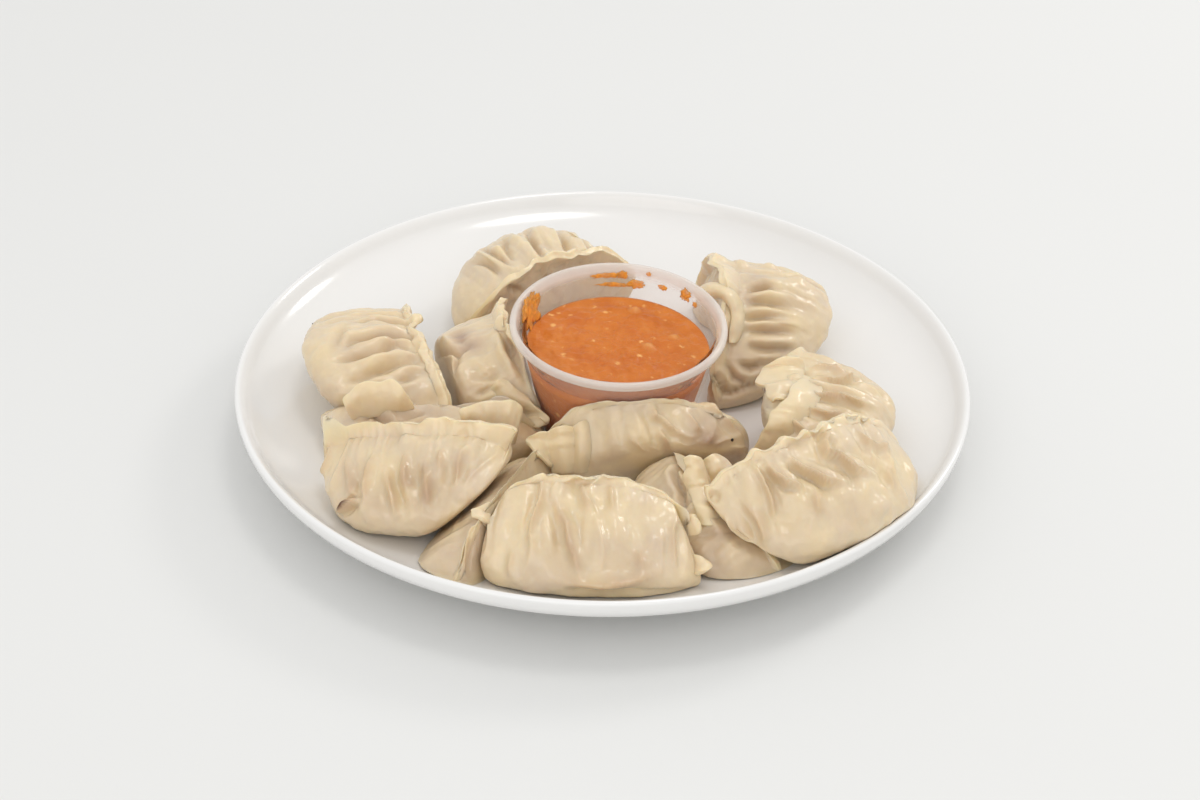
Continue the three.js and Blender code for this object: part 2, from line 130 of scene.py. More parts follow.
# What each momo has of its own besides its shape, placed on the skin by t and s in hundredths: t runs
# from -100 to 100 along the momo, and s from -100 at the base up the smooth side, 0 at the flange's edge,
# to 100 down the pleated side. Creases of each kind are (depth, width, t, s, t, s, ...), lumps (radius,
# height, t, s) and stains, where the filling shows through, (strength, radius, t, s). Grooves, folds and
# tears also paint shade into the dough's colour, and two large stains are painted shade.
MARKS = {
    "front": {
        "groove": [
            (3.6, 1.14, -35, 49, -38, 44, -36, 38, -32, 31, -32, 25, -33, 16),
            (2.55, 1.42, -21, 29, -18, 34, -12, 39, -10, 45, -5, 51, -1, 59),
            (2.4, 1.14, -4, 19, -1, 28, 4, 32), (1.8, 1.14, 17, 18, 19, 28, 21, 32),
            (1.35, 1.42, -51, 51, -52, 58, -50, 66), (2.7, 1.71, -14, 65, 0, 64, 14, 64, 35, 62, 53, 58),
            (1.8, 1.14, 65, 31, 63, 36, 65, 43, 68, 55), (1.2, 1.71, 41, 46, 43, 51, 46, 56),
        ],
        "ridge": [
            (1.8, 2, -27, 29, -20, 39, -14, 47), (1.5, 2, -12, 29, -4, 36, 2, 46),
            (1.2, 2, 7, 29, 14, 36, 19, 46), (1.8, 3, 28, 28, 41, 40, 42, 52),
            (2.7, 2.4, -7, 71, 14, 74, 43, 72, 79, 74), (1.35, 2.2, -49, 29, -51, 40, -47, 50),
        ],
        "lump": [
            (3.6, 4, 89, 6), (3.4, 3.2, 89, 48), (2.6, 2.6, -91, 6), (9, 1.8, 25, 52), (3.2, 1.4, -30, -5),
            (3.2, 1.4, 5, -5), (6, 1, -15, 53), (7, 1.2, 48, 34), (6, 0.9, -35, 61),
        ],
        "stain": [(0.6, 9, -8, 51), (0.6, 10, 32, 52), (0.3, 6, 52, 44), (0.3, 6, -28, 61)],
    },
    "front_left": {
        "groove": [
            (2.4, 1.33, -34, 31, -33, 39, -31, 45, -30, 51), (3, 1.23, -14, 39, -6, 45, 0, 51, 5, 59),
            (2.4, 1.61, 1, 30, 6, 40, 13, 47), (1.95, 1.42, 26, 36, 32, 44, 36, 55),
            (1.8, 1.14, 38, 29, 40, 34, 43, 39), (1.35, 1.14, -91, 19, -95, 60, -94, 61),
            (1.2, 1.42, -69, 30, -53, 44, -47, 50), (1.8, 1.23, 60, 29, 59, 39, 59, 47),
        ],
        "ridge": [
            (1.8, 2, -8, 33, -5, 43, 7, 51, 10, 59), (1.35, 2.4, 14, 34, 21, 45, 24, 54),
            (1.35, 2.2, -49, 33, -44, 43, -35, 52), (1.35, 2.4, 48, 34, 48, 43, 47, 53),
        ],
        "tear": [
            (4.5, 0.85, -61, 62, -52, 57, -47, 54, -40, 52),
        ],
        "lump": [(2.4, 3, -82, 6), (8, 1.4, 38, 52), (7, 1.2, -12, 54), (6, 1, 62, 42), (5, -0.9, 2, 23)],
        "stain": [
            (0.7, 7, 18, 41), (0.8, 8, 36, 50), (0.5, 6, -13, 52), (0.5, 6, -47, 43), (0.4, 6, 62, 40),
        ],
    },
    "front_right": {
        "groove": [
            (1.95, 1.14, -90, 38, -94, 58, -89, 67, -86, 68),
            (2.25, 1.42, -75, 35, -72, 44, -72, 49, -74, 57),
            (2.25, 0.85, -52, 21, -52, 28, -54, 34, -57, 40, -60, 43),
            (2.7, 0.85, -43, 24, -43, 30, -39, 34, -28, 38),
            (2.85, 0.85, -25, 26, -20, 31, -13, 35, -8, 39, 5, 42),
            (2.55, 0.85, 7, 24, 4, 30, 15, 33, 21, 39, 30, 42), (3, 1.14, 19, 22, 8, 26, 5, 30),
            (2.25, 1.33, 46, 24, 47, 32, 70, 35), (2.4, 2.09, -21, 41, -27, 46, -26, 49),
            (1.5, 1.71, 52, 41, 48, 48, 46, 52),
        ],
        "fold": [
            (2.85, 1.8, -60, 43, -57, 40, -54, 34, -52, 28, -52, 21),
            (2.85, 1.8, -43, 24, -43, 30, -39, 34, -28, 38),
            (3, 1.9, -25, 26, -20, 31, -13, 35, -8, 39, 5, 42),
            (2.7, 1.8, 7, 24, 4, 30, 15, 33, 21, 39, 30, 42),
        ],
        "ridge": [
            (1.65, 2, -79, 31, -77, 43, -84, 67), (1.95, 2.1, -57, 28, -62, 39, -64, 50),
            (2.1, 1.9, -36, 24, -25, 31, -14, 36, -10, 46), (2.1, 1.9, -14, 26, -1, 33, 17, 40, 11, 46),
            (1.95, 1.9, 19, 30, 34, 35, 43, 43, 42, 51),
        ],
        "lump": [
            (3, 2.8, 28, -7), (3, 2.8, 49, 6), (3, 2, 62, 6), (4.5, -1.6, 26, 56), (8, 1.4, -51, 47),
            (7, 1, -5, 53), (3, 1.6, -89, 21),
        ],
        "stain": [(0.3, 8, -51, 47), (0.3, 7, -5, 53), (0.3, 6, -84, 49)],
    },
    "under_left": {
        "groove": [
            (3, 0.95, 54, -57, 35, -62, -12, -48, -51, -40), (1.8, 1.14, 6, -65, -5, -66, -46, -50),
            (1.8, 1.33, -54, -27, -80, 3, -90, 12, -93, 28),
        ],
        "fold": [
            (3, 2.09, -51, -40, -12, -48, 35, -62, 54, -57),
        ],
        "ridge": [
            (1.8, 2.6, 6, -65, -40, -49, -84, -31), (1.8, 2.6, -40, -39, -76, -29, -91, -23),
        ],
        "lump": [(8, 1.2, -91, -4), (5, 1.4, 59, -35), (4, 1.2, -4, -5)],
        "stain": [
            # The large stain round t -10, s -45 is painted shade over the lower skin.
            (0.5, 8, -79, -29), (0.6, 8, -84, 23), (0.7, 6, 23, -25), (0.7, 16, -10, -45),
            (0.7, 12, -70, -20),
        ],
    },
    "under_right": {
        "groove": [
            (3.3, 1.23, -42, 5, -42, 32, -28, 34, -11, 36, 2, 39, 18, 42),
            (3.6, 1.52, -39, -20, -21, -19, -4, 23, 6, 26), (2.1, 1.14, -57, -46, -28, -36, -6, -30),
        ],
        "ridge": [
            (2.1, 1.5, -43, -7, -28, -7, -15, 2), (2.1, 1.6, -59, -32, -34, -25, -18, -24, -5, -24),
            (1.95, 2.4, -50, -5, -26, 28, -1, 32, 14, 32, 43, 36, 71, 38),
        ],
        "lump": [(7, 1.2, 75, 40), (5, 1.2, 21, 35)],
        # The large stain round t 62, s 37 is painted shade.
        "stain": [(0.3, 8, 82, 47), (0.65, 14, 62, 37)],
    },
    "centre": {
        "groove": [
            (3, 1.23, -52, 21, -54, 31, -58, 38), (3, 1.23, -41, 35, -40, 40, -35, 46),
            (1.95, 1.33, -25, 30, -27, 36, -26, 43, -25, 50), (2.7, 1.14, 10, 36, 12, 41, 15, 49, 21, 56),
            (2.1, 1.14, 31, 25, 32, 29, 38, 31), (2.55, 1.23, 33, 35, 35, 42, 36, 55, 40, 68),
            (2.4, 1.14, 36, 30, 40, 33, 43, 35, 53, 40), (1.5, 1.33, 52, 24, 58, 32, 60, 36),
            (2.1, 1.23, 68, -5, 73, 7, 79, 22, 86, 27, 92, 36),
        ],
        "ridge": [
            (1.35, 2.2, -8, 27, -10, 33, -12, 40), (1.8, 2, 23, 22, 27, 32, 33, 61),
            (1.65, 2, 42, 33, 48, 39, 51, 50), (1.5, 2.2, -41, 26, -44, 31, -47, 38),
            (1.5, 2.2, 2, 28, 5, 35, 7, 51),
        ],
        "lump": [(7, 1.2, -4, 42), (6, 1.2, 24, 79), (6, 1.4, 69, 57), (4, 1.2, -64, 1), (4, 1.5, 57, -5)],
        "stain": [
            (1, 8, 67, 41), (1, 7, 73, 76), (0.9, 6, 83, 67), (0.6, 7, -7, 44), (0.5, 5, 31, 50),
            (0.4, 6, -41, 43),
        ],
    },
    "behind_left": {
        "groove": [
            (2.1, 1.23, 54, -51, 47, -47, 34, -52, 23, -57), (1.8, 1.33, 20, -51, 13, -47, 1, -44),
        ],
        "ridge": [
            (1.5, 2.4, 46, -42, 27, -44, 11, -41), (1.35, 2.4, 0, -32, -15, -44, -26, -51),
        ],
        "lump": [(7, 1.4, 36, -44), (7, 1.2, 0, -47), (3, 1, 15, -55)],
        "stain": [(0.8, 8, 32, -45), (0.8, 9, 48, -38), (0.7, 8, -4, -46), (0.6, 6, 15, -52)],
    },
    "left": {
        "groove": [
            (2.4, 1.42, 5, 12, 2, 24, 5, 31, 7, 41, 13, 44),
            (2.4, 1.42, 20, 22, 12, 27, 25, 33, 28, 41, 28, 50),
            (2.55, 1.42, 36, 21, 39, 29, 44, 35, 50, 45, 51, 52),
            (1.65, 1.33, -20, 7, -25, 24, -27, 33, -24, 40), (1.8, 1.23, 52, 25, 57, 30, 60, 34),
            (1.2, 1.52, -23, 40, 0, 44, 15, 49),
        ],
        "ridge": [
            (1.65, 2.3, -5, 9, -7, 25, -6, 32, -4, 39), (1.65, 2.3, 8, 20, 8, 27, 14, 35, 20, 43),
            (1.8, 2.3, 30, 22, 28, 29, 35, 38, 40, 49), (1.35, 2.2, 46, 23, 48, 29, 55, 35),
            (1.8, 1.4, 7, -6, 26, 15, 43, 15, 61, 16),
        ],
        "lump": [(8, 1.4, 21, 53), (7, 1.2, 64, 66), (6, 0.8, -28, 31), (4, 1.5, -28, -4)],
        "stain": [(0.3, 7, 21, 40), (0.4, 8, 39, 73), (0.3, 7, 0, 29)],
    },
    "middle_left": {
        "groove": [
            (2.85, 1.33, 42, -62, 26, -55, 0, -42, -10, -38, -6, -34),
            (1.8, 1.33, -10, -38, -20, -41, -30, -48), (1.8, 1.42, -63, -38, -65, -44, -65, -47),
            (1.5, 1.33, -52, -40, -56, -36, -53, -31),
            (3, 1.52, 10, 4, -4, -16, -27, -20, -54, -24, -72, -26),
        ],
        "ridge": [
            (1.65, 2.6, 42, -47, 12, -39, 7, -35), (1.5, 2.6, 15, -67, -25, -56, -49, -47),
            (1.35, 2.4, -15, -34, -39, -35, -50, -35),
            (3.3, 1.8, 20, -6, -1, -18, -35, -25, -52, -26, -70, -29),
        ],
        "lump": [(6, 1.4, 6, -61), (6, 1.4, -43, -43), (6, 1.2, 13, -42), (7, 1.2, 8, -30)],
        "stain": [
            (1, 5, 13, -35), (0.8, 5, -7, -33), (0.5, 8, -14, -52), (0.6, 8, -53, -55), (0.4, 6, 34, -49),
        ],
    },
    "back_left": {
        "groove": [
            (2.85, 1.14, -18, 52, -7, 38, 1, 28, 7, 14), (2.7, 1.14, -45, 48, -38, 36, -30, 25, -23, 13),
            (2.25, 1.14, -62, 42, -53, 27, -46, 13), (2.55, 1.14, 34, 56, 38, 44, 38, 37, 34, 26),
            (2.1, 1.14, 54, 46, 48, 37, 48, 26), (1.8, 1.14, 15, 46, 22, 40, 28, 30),
            (2.1, 1.33, 53, -12, 42, -25, 32, -32), (1.8, 1.33, 10, -25, 0, -34, -8, -44),
        ],
        "ridge": [
            (1.65, 2.2, -32, 50, -22, 36, -13, 20), (1.65, 2.2, -54, 44, -44, 28, -36, 14),
            (1.65, 2.2, -2, 52, 8, 37, 15, 24), (1.65, 2.2, 44, 54, 43, 42, 42, 28),
        ],
        "lump": [(6, 1.4, 30, 40), (6, 1.2, -15, 42), (7, 1.2, 0, -45)],
        "stain": [(0.3, 6, 53, 47), (0.3, 5, 17, 45), (0.5, 6, 59, -23), (0.5, 6, 67, -28)],
    },
    "back_right": {
        "groove": [
            (2.55, 1.33, -30, 22, -26, 29, -21, 34), (2.4, 1.33, -54, 25, -53, 31, -50, 36),
            (2.4, 1.33, -64, 27, -63, 36, -59, 45), (2.25, 1.23, -84, 29, -85, 36, -83, 41),
            (1.95, 1.14, -84, 19, -90, 28, -92, 39), (1.8, 1.33, -92, -5, -92, -24, -96, 30, -84, 86),
            (1.8, 1.23, -41, 25, -39, 32, -39, 40), (1.8, 1.23, -74, 29, -74, 39, -70, 51),
        ],
        "ridge": [
            (1.5, 2.2, -17, 23, -15, 30, -17, 38), (1.5, 2.2, -35, 24, -32, 33, -27, 43),
            (1.5, 2.2, -48, 25, -46, 34, -43, 46), (1.5, 2.2, -60, 26, -57, 38, -52, 50),
            (1.5, 2.2, -69, 28, -68, 41, -63, 52),
        ],
        "lump": [(5, 1.8, 23, 23), (5, 1.8, 24, 34), (5, 1.4, 6, 43), (6, 1.2, -74, 42), (6, 1.2, -49, 45)],
        "stain": [
            (0.8, 5, -15, 29), (0.5, 5, -38, 25), (0.4, 6, -53, 38), (0.4, 8, -30, 41), (0.3, 8, -79, 45),
        ],
    },
    "right": {
        "groove": [
            (2.25, 0.95, 11, 28, 14, 33, 25, 38, 43, 44),
            (2.4, 0.95, -21, 29, -20, 32, -10, 39, -8, 44, -4, 48),
            (2.7, 1.04, -31, 28, -39, 32, -38, 38, -23, 42), (1.95, 0.95, 24, 26, 31, 31, 32, 36),
            (2.1, 1.14, -56, 26, -60, 31, -60, 33),
        ],
        "fold": [
            (2.25, 1.71, 11, 28, 14, 33, 25, 38, 43, 44),
            (2.4, 1.71, -21, 29, -20, 32, -10, 39, -8, 44, -4, 48),
        ],
        "ridge": [
            (1.8, 2, 40, 28, 35, 32, 63, 39), (1.8, 2, 11, 30, 18, 35, 28, 40, 25, 44),
            (1.8, 2, -20, 30, -6, 33, -4, 38),
            (1.8, 1.8, 51, 20, 17, 25, -12, 25, -21, 26, -36, 31, -40, 35),
        ],
        "lump": [(4, 1.8, 50, 48), (5, 1.6, 32, 55), (6, 1.2, -47, 41), (4, 1.2, 13, 22)],
        "stain": [(0.3, 6, 32, 34), (0.3, 6, -14, 39), (0.3, 8, -36, 47)],
    },
}

# Dip on the inside of the cup's wall above its level, each as (middle, half angle, height over the level,
# half height, thickness, seed), with angles in degrees from +X.
FILM = [(-92, 84, 4.6, 5.2, 0.35, 1.0)]
SMEARS = [
    (160, 12, 6.2, 6.0, 0.5, 2.0), (150, 5, 8.6, 1.4, 0.3, 3.0), (98, 9, 8.6, 0.9, 0.3, 4.0),
    (88, 3, 8.9, 1.4, 0.4, 5.0), (92, 10, 5.2, 0.8, 0.25, 6.0), (79, 5, 6.0, 1.5, 0.3, 7.0),
    (62, 3, 7.0, 0.9, 0.3, 8.0), (45, 4, 8.0, 2.0, 0.4, 9.0), (36, 2, 6.8, 0.9, 0.3, 10.0),
    (72, 1.5, 10.4, 0.7, 0.3, 11.0),
]

# Bits of garlic in the dip, each as (x, y, radius, how far it stands out), round the middle of the cup.
GARLIC = [
    (10.7, 0.5, 3.4, 1.8), (6.0, 23.5, 3.0, 1.6), (-19.8, 10.3, 1.3, 0.4), (-15.4, -7.9, 1.3, 0.4),
    (-11.7, -19.3, 1.3, 0.4), (19.5, 8.0, 2.6, 1.2),
]

# Burnt specks on the dough, as (which momo, t, s, radius), with t and s in hundredths.
SPECKS = [("centre", 82, 36, 0.55), ("left", -62, 62, 0.4), ("left", -56, 60, 0.25)]

# Flaps of dough that stand or fold out from the seams, each as (whose, half thickness, rows of points
# from its root in the momo to its free edge). A row is x, y, z, x, y, z, ... in tenths of a millimetre.
FLAPS = [
    ("behind_left", 1, [
        [-838, -382, 261, -790, -383, 275, -734, -396, 298, -674, -393, 310, -619, -374, 305],
        [-858, -389, 319, -806, -382, 356, -737, -394, 382, -674, -395, 384, -633, -384, 353],
        [-869, -366, 340, -827, -353, 396, -764, -362, 431, -701, -361, 437, -661, -357, 386],
    ]),
    ("behind_left", 1, [
        [-463, -453, 295, -417, -458, 275, -371, -466, 257, -328, -465, 233, -289, -452, 208],
        [-468, -465, 348, -415, -461, 355, -356, -463, 353, -310, -460, 336, -274, -451, 298],
        [-476, -442, 361, -423, -429, 393, -357, -424, 411, -291, -422, 394, -262, -412, 356],
    ]),
    ("middle_left", 1.2, [
        [-395, -203, 274, -360, -232, 262, -322, -241, 214, -292, -236, 161, -279, -223, 109],
        [-369, -223, 325, -324, -246, 309, -279, -272, 278, -242, -277, 228, -222, -360, 234],
        [-343, -198, 338, -305, -225, 324, -242, -266, 287, -154, -365, 289, -172, -319, 214],
    ]),
    ("centre", 1.2, [
        [-39, -470, 361, -32, -510, 313, -31, -546, 258, -36, -547, 185],
        [-69, -498, 368, -64, -536, 323, -63, -568, 273, -66, -569, 200],
        [-95, -498, 343, -90, -528, 309, -89, -559, 262, -92, -564, 204],
        [-130, -513, 357, -129, -545, 320, -125, -575, 273, -119, -570, 209],
        [-173, -507, 328, -176, -534, 299, -172, -559, 260, -162, -550, 201],
        [-212, -516, 338, -208, -543, 309, -196, -601, 299, -180, -590, 242],
        [-265, -510, 324, -254, -531, 303, -220, -652, 347, -190, -602, 267],
    ]),
    ("front", 1.3, [
        [-341, -903, 343, -343, -934, 321, -344, -977, 299],
        [-377, -928, 335, -373, -949, 328, -367, -1001, 337],
        [-405, -931, 324, -401, -948, 322, -387, -976, 325],
    ]),
    ("front", 1.3, [
        [266, -931, 328, 273, -946, 296, 275, -954, 255],
        [290, -952, 333, 301, -963, 306, 296, -967, 270],
        [307, -952, 318, 316, -958, 299, 311, -956, 273],
    ]),
    ("front", 1.3, [
        [286, -1015, 237, 296, -1045, 213, 290, -1076, 191],
        [317, -1036, 242, 326, -1062, 224, 316, -1086, 212],
        [339, -1038, 225, 351, -1055, 219, 338, -1075, 215],
    ]),
    ("right", 1.1, [
        [683, -172, 416, 687, -201, 374, 663, -321, 389, 615, -401, 383],
        [612, -198, 435, 599, -224, 396, 584, -344, 412, 579, -421, 409],
        [560, -193, 407, 509, -217, 372, 509, -330, 397, 558, -417, 381],
    ]),
    ("right", 1.2, [
        [746, -325, 394, 717, -386, 370, 666, -463, 351, 613, -503, 306, 558, -447, 190],
        [708, -228, 376, 661, -384, 408, 617, -461, 389, 568, -503, 341, 520, -458, 209],
        [677, -201, 373, 612, -370, 414, 559, -449, 391, 516, -492, 344, 479, -456, 219],
    ]),
    ("under_right", 1.1, [
        [325, -686, 368, 336, -720, 323, 352, -753, 280, 376, -819, 263, 406, -894, 250],
        [285, -711, 394, 296, -744, 351, 315, -779, 306, 329, -857, 295, 350, -923, 272],
        [251, -698, 372, 255, -731, 329, 266, -766, 283, 276, -850, 281, 301, -915, 256],
    ]),
    ("under_right", 1.1, [
        [371, -615, 330, 410, -632, 311, 433, -654, 283, 434, -678, 252],
        [347, -647, 344, 373, -669, 317, 396, -691, 290, 413, -712, 262],
        [329, -638, 318, 342, -665, 285, 362, -689, 255, 391, -709, 239],
    ]),
    ("back_right", 1.3, [
        [307, 251, 398, 378, 269, 434, 448, 234, 432, 495, 204, 380, 495, 150, 335, 482, 115, 281],
        [324, 216, 407, 380, 224, 428, 435, 189, 435, 468, 165, 392, 468, 119, 350, 459, 84, 297],
        [350, 225, 381, 382, 225, 391, 416, 198, 400, 443, 149, 385, 444, 116, 343, 438, 84, 292],
    ]),
]

# The soft lights: name, place in metres, size, power and colour. Each shines at the middle of the table.
LIGHTS = [
    ("overhead_softbox", (0.25, 0.1, 1.5), 0.45, 2.6, (1.0, 0.99, 0.98)),
    ("back_right_softbox", (0.95, 0.75, 0.9), 0.4, 2.9, (1.0, 0.985, 0.96)),
    ("front_fill", (-0.35, -1.5, 1.05), 1.6, 7.0, (1.0, 1.0, 1.0)),
]
ROOM_LIGHT = 0.85

# The camera's sensor in millimetres, the image's width in pixels, how many pixels the middle of the rim
# lies above and to the right of the image's middle, and how far the camera is rolled.
SENSOR, IMAGE_WIDTH, AIM_DOWN, AIM_LEFT, ROLL = 36, 1200, 34.1528, 2.2696, math.radians(1.0)


# ---------------------------------------------------------------- sizes and colours a user may change


def mm(name, description, default, low=0.0, high=500.0):
    """A length, kept in metres as Blender's length units ask, from a size in millimetres."""
    return FloatProperty(name=name, description=description, default=default * MM, min=low * MM,
                         max=high * MM, subtype="DISTANCE", unit="LENGTH")


def angle(name, description, default, low=-math.pi, high=math.pi):
    return FloatProperty(name=name, description=description, default=default, min=low, max=high,
                         subtype="ANGLE")


def fraction(name, description, default):
    return FloatProperty(name=name, description=description, default=default, min=0, max=1,
                         subtype="FACTOR")


def divisions(name, description, default):
    return IntProperty(name=name, description=description, default=default, min=16)


def linear(code):
    """An sRGB hex colour as the linear numbers that shaders take."""
    parts = [int(code[i:i + 2], 16) / 255 for i in (1, 3, 5)]
    return tuple(c / 12.92 if c <= 0.04045 else ((c + 0.055) / 1.055) ** 2.4 for c in parts)


def colour(name, description, code):
    return FloatVectorProperty(name=name, description=description, default=linear(code), size=3,
                               min=0.0, max=1.0, subtype="COLOR")


class MomoPlateSizes(bpy.types.PropertyGroup):
    radius: mm("Radius", "Outer radius of the plate", 128)
    height: mm("Height", "Height of the rim over the table", 25)
    wall: mm("Wall", "Thickness of the stoneware", 3.4)
    middle: mm("Flat middle", "Radius of the flat middle", 38)
    floor: mm("Floor", "Height of the flat middle over the table", 6.2)
    foot_radius: mm("Foot radius", "Outer radius of the foot ring", 66)
    foot_width: mm("Foot width", "Width of the foot ring", 5)
    lip_round: mm("Lip rounding", "Radius of the rounding of the lip", 1.2)
    curve_turn: angle("Curve turn", "How far round its quarter ellipse the side curves", 1.4, 0.2, 1.55)
    segments: divisions("Segments", "Divisions round the plate", 256)
    glaze: colour("Glaze", "Colour of the glaze", "#ecebe9")


class MomoCupSizes(bpy.types.PropertyGroup):
    place: FloatVectorProperty(name="Place", description="Where the middle of the cup stands", size=2,
                               default=(4 * MM, -12 * MM), subtype="XYZ_LENGTH", unit="LENGTH")
    height: mm("Height", "Height of the cup", 45)
    base_radius: mm("Base radius", "Outer radius at the base", 25)
    mouth_radius: mm("Mouth radius", "Outer radius of the wall under the lip", 35)
    lip_radius: mm("Lip radius", "Outer radius of the lip", 37)
    lip_height: mm("Lip height", "Height of the rolled lip", 3)
    wall: mm("Wall", "Thickness of the wall", 0.9)
    floor: mm("Floor", "Thickness of the base", 1.2)
    stack_step: mm("Stacking step", "How far the wall steps out where cups stack", 0.7)
    stack_drop: mm("Stacking drop", "How far the stacking step lies under the lip", 8)
    tilt_forward: angle("Tilt forward", "Tilt towards the diner", math.radians(2))
    tilt_right: angle("Tilt right", "Tilt to the diner's right", math.radians(1.5))
    segments: divisions("Segments", "Divisions round the cup", 144)
    plastic: colour("Plastic", "Colour of the cup", "#f2ebe4")


class MomoDipSizes(bpy.types.PropertyGroup):
    below_lip: mm("Below lip", "How far the dip's edge lies under the lip", 12)
    mound: mm("Mound", "How far the dip mounds up in its middle", 1.1)
    sauce: colour("Sauce", "Colour of the dip", "#d67e2f")
    smear: colour("Smears", "Colour of the dip where it is smeared thin", "#f2a545")
    sauce_dark: colour("Dark sauce", "Colour of the dip where it is darkest", "#c76a20")


class MomoDoughSizes(bpy.types.PropertyGroup):
    edge_half: mm("Edge half thickness", "Half the thickness of the flange at its edge", 1.1)
    root_half: mm("Root half thickness", "Half the thickness of the flange at its root", 1.87)
    flange_share: fraction("Flange share", "The most of the height that is flange", 0.4)
    edge_wave: mm("Edge wave", "How far the flange's edge waves", 0.9)
    pleat_depth: mm("Pleat depth", "Depth of the pleats", 2.3)
    pleat_steep: fraction("Pleat steepness", "Share of a pleat that drops steeply", 0.3)
    lump: mm("Lumps", "How far the filling's lumps raise the skin", 0.7)
    wrinkle: mm("Wrinkles", "Height of the fine wrinkles that gather under the seam", 0.35)
    drape: mm("Drape", "Depth of the soft folds that fall from the seam", 2.4)
    curl: mm("Edge curl", "How far the flange's edge curls in short waves", 0.9)
    around: divisions("Around", "Divisions round a momo", 192)
    along: divisions("Along", "Divisions along a momo", 200)
    skin: colour("Skin", "Colour of the dough over the filling", "#dfcaa4")
    thin: colour("Thin skin", "Colour of the dough where it was rolled thinnest", "#d9c6ab")
    # The edge colour is also painted on raised skin as a highlight.
    edge: colour("Edge", "Colour of the thick dough of the seam and flaps", "#efdcb4")
    # The creases' colour is painted shade.
    shade: colour("Creases", "Colour deep in the folds", "#b5926a")
    # This colour also paints shade in two large stains.
    filling: colour("Filling", "Colour of the filling that shows through the skin", "#a88a76")


class MomoStageSizes(bpy.types.PropertyGroup):
    distance: mm("Camera distance", "From the camera to the middle of the rim", 700, 100, 5000)
    elevation: angle("Camera elevation", "Height angle of the camera", math.radians(33.7504))
    lens: FloatProperty(name="Lens", description="Focal length on a 36 mm sensor", default=59.729,
                        subtype="DISTANCE_CAMERA", unit="CAMERA")
    floor: colour("Table", "Colour of the plain table", "#e2e2e0")


def in_millimetres(group):
    """The values of one of the scene's groups, with its lengths in millimetres."""
    sizes = getattr(bpy.context.scene, group)
    values = SimpleNamespace()
    for name in prop_names(sizes):
        value = getattr(sizes, name)
        if sizes.bl_rna.properties[name].unit == "LENGTH":
            value = value / MM if isinstance(value, float) else [each / MM for each in value]
        setattr(values, name, value)
    return values


def prop_names(sizes):
    return [name for name in sizes.bl_rna.properties.keys() if name not in {"rna_type", "name"}]


# ---------------------------------------------------------------- helpers for meshes and materials


def new_object(name, bm, material, *nodes, slot=None):
    """Finishes a mesh in millimetres as a piece that rides on the part and stands for its CAD nodes."""
    bmesh.ops.scale(bm, vec=(MM, MM, MM), verts=bm.verts)
    bmesh.ops.recalc_face_normals(bm, faces=bm.faces)
    for face in bm.faces:
        face.smooth = True
    mesh = bpy.data.meshes.new(name)
    bm.to_mesh(mesh)
    bm.free()
    mesh.materials.append(material)
    piece = bpy.data.objects.new(name, mesh)
    bpy.context.scene.collection.objects.link(piece)
    if nodes or slot:
        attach(piece, "root")
    if nodes:
        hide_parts(*nodes)
    return piece


def store(piece, **values):
    """Keeps values at each vertex of a piece, for its material to read."""
    for name, value in values.items():
        attribute = piece.data.attributes.new(name, "FLOAT", "POINT")
        attribute.data.foreach_set("value", value.astype(np.float32))


def turned(profile, segments):
    """A solid of revolution round Z from profile points (radius, height)."""
    bm = bmesh.new()
    verts = [bm.verts.new((radius, 0, height)) for radius, height in profile]
    edges = [bm.edges.new(pair) for pair in zip(verts, verts[1:])]
    bmesh.ops.spin(bm, geom=verts + edges, axis=(0, 0, 1), cent=(0, 0, 0), steps=segments,
                   angle=2 * math.pi, use_merge=True)
    bmesh.ops.remove_doubles(bm, verts=bm.verts, dist=1e-4)
    return bm


def coordinates(bm):
    return np.array([v.co for v in bm.verts], float)


def place(bm, points):
    for vert, point in zip(bm.verts, points):
        vert.co = point


def give_way(distance, limit, give):
    """Squeezes distances towards a limit: far inside they are unchanged, and none passes the limit."""
    free = limit - give
    squeezed = limit - give * np.exp(-np.maximum(distance - free, 0) / give)
    return np.where(distance <= free, distance, squeezed)


def bump(x):
    """A smooth bump of height 1 and half-width 1, zero outside."""
    return np.maximum(0, 1 - x * x) ** 2


def new_material(name, settings):
    """A material with these values on its shader's sockets, its node tree and its shader."""
    material = bpy.data.materials.new(name)
    material.use_nodes = True
    tree = material.node_tree
    shader = tree.nodes["Principled BSDF"]
    for socket, value in settings.items():
        shader.inputs[socket].default_value = value
    return material, tree, shader


def join(tree, node, links):
    for socket, source in links.items():
        tree.links.new(source, node.inputs[socket])


def add_node(tree, kind, links=None, **settings):
    """Adds a shader node. in_NAME or in_NUMBER gives a socket its value, and links joins sockets."""
    node = tree.nodes.new("ShaderNode" + kind)
    for key, value in settings.items():
        if key.startswith("in_"):
            socket = key[3:]
            node.inputs[int(socket) if socket.isdigit() else socket].default_value = value
        else:
            setattr(node, key, value)
    join(tree, node, links or {})
    return node


def shade(code):
    return (*linear(code), 1)


def every(size):
    """The scale of a texture whose pattern comes again after about this many millimetres."""
    return 1 / (size * MM)


# ---------------------------------------------------------------- plate


def plate_curve(plate, steps):
    """The plate's upper surface from the middle outwards, as (radius, height): a quarter of an ellipse."""
    reach = plate.radius - plate.wall - plate.middle
    rise = plate.height - plate.floor - 1
    turns = np.linspace(0, plate.curve_turn, steps)
    return plate.middle + reach * np.sin(turns), plate.floor + rise * (1 - np.cos(turns))


def plate_top(plate, radius):
    """Height of the plate's upper surface for points at these radii."""
    curve_r, curve_z = plate_curve(plate, 64)
    return np.interp(radius, [*curve_r, plate.radius - plate.lip_round], [*curve_z, plate.height])


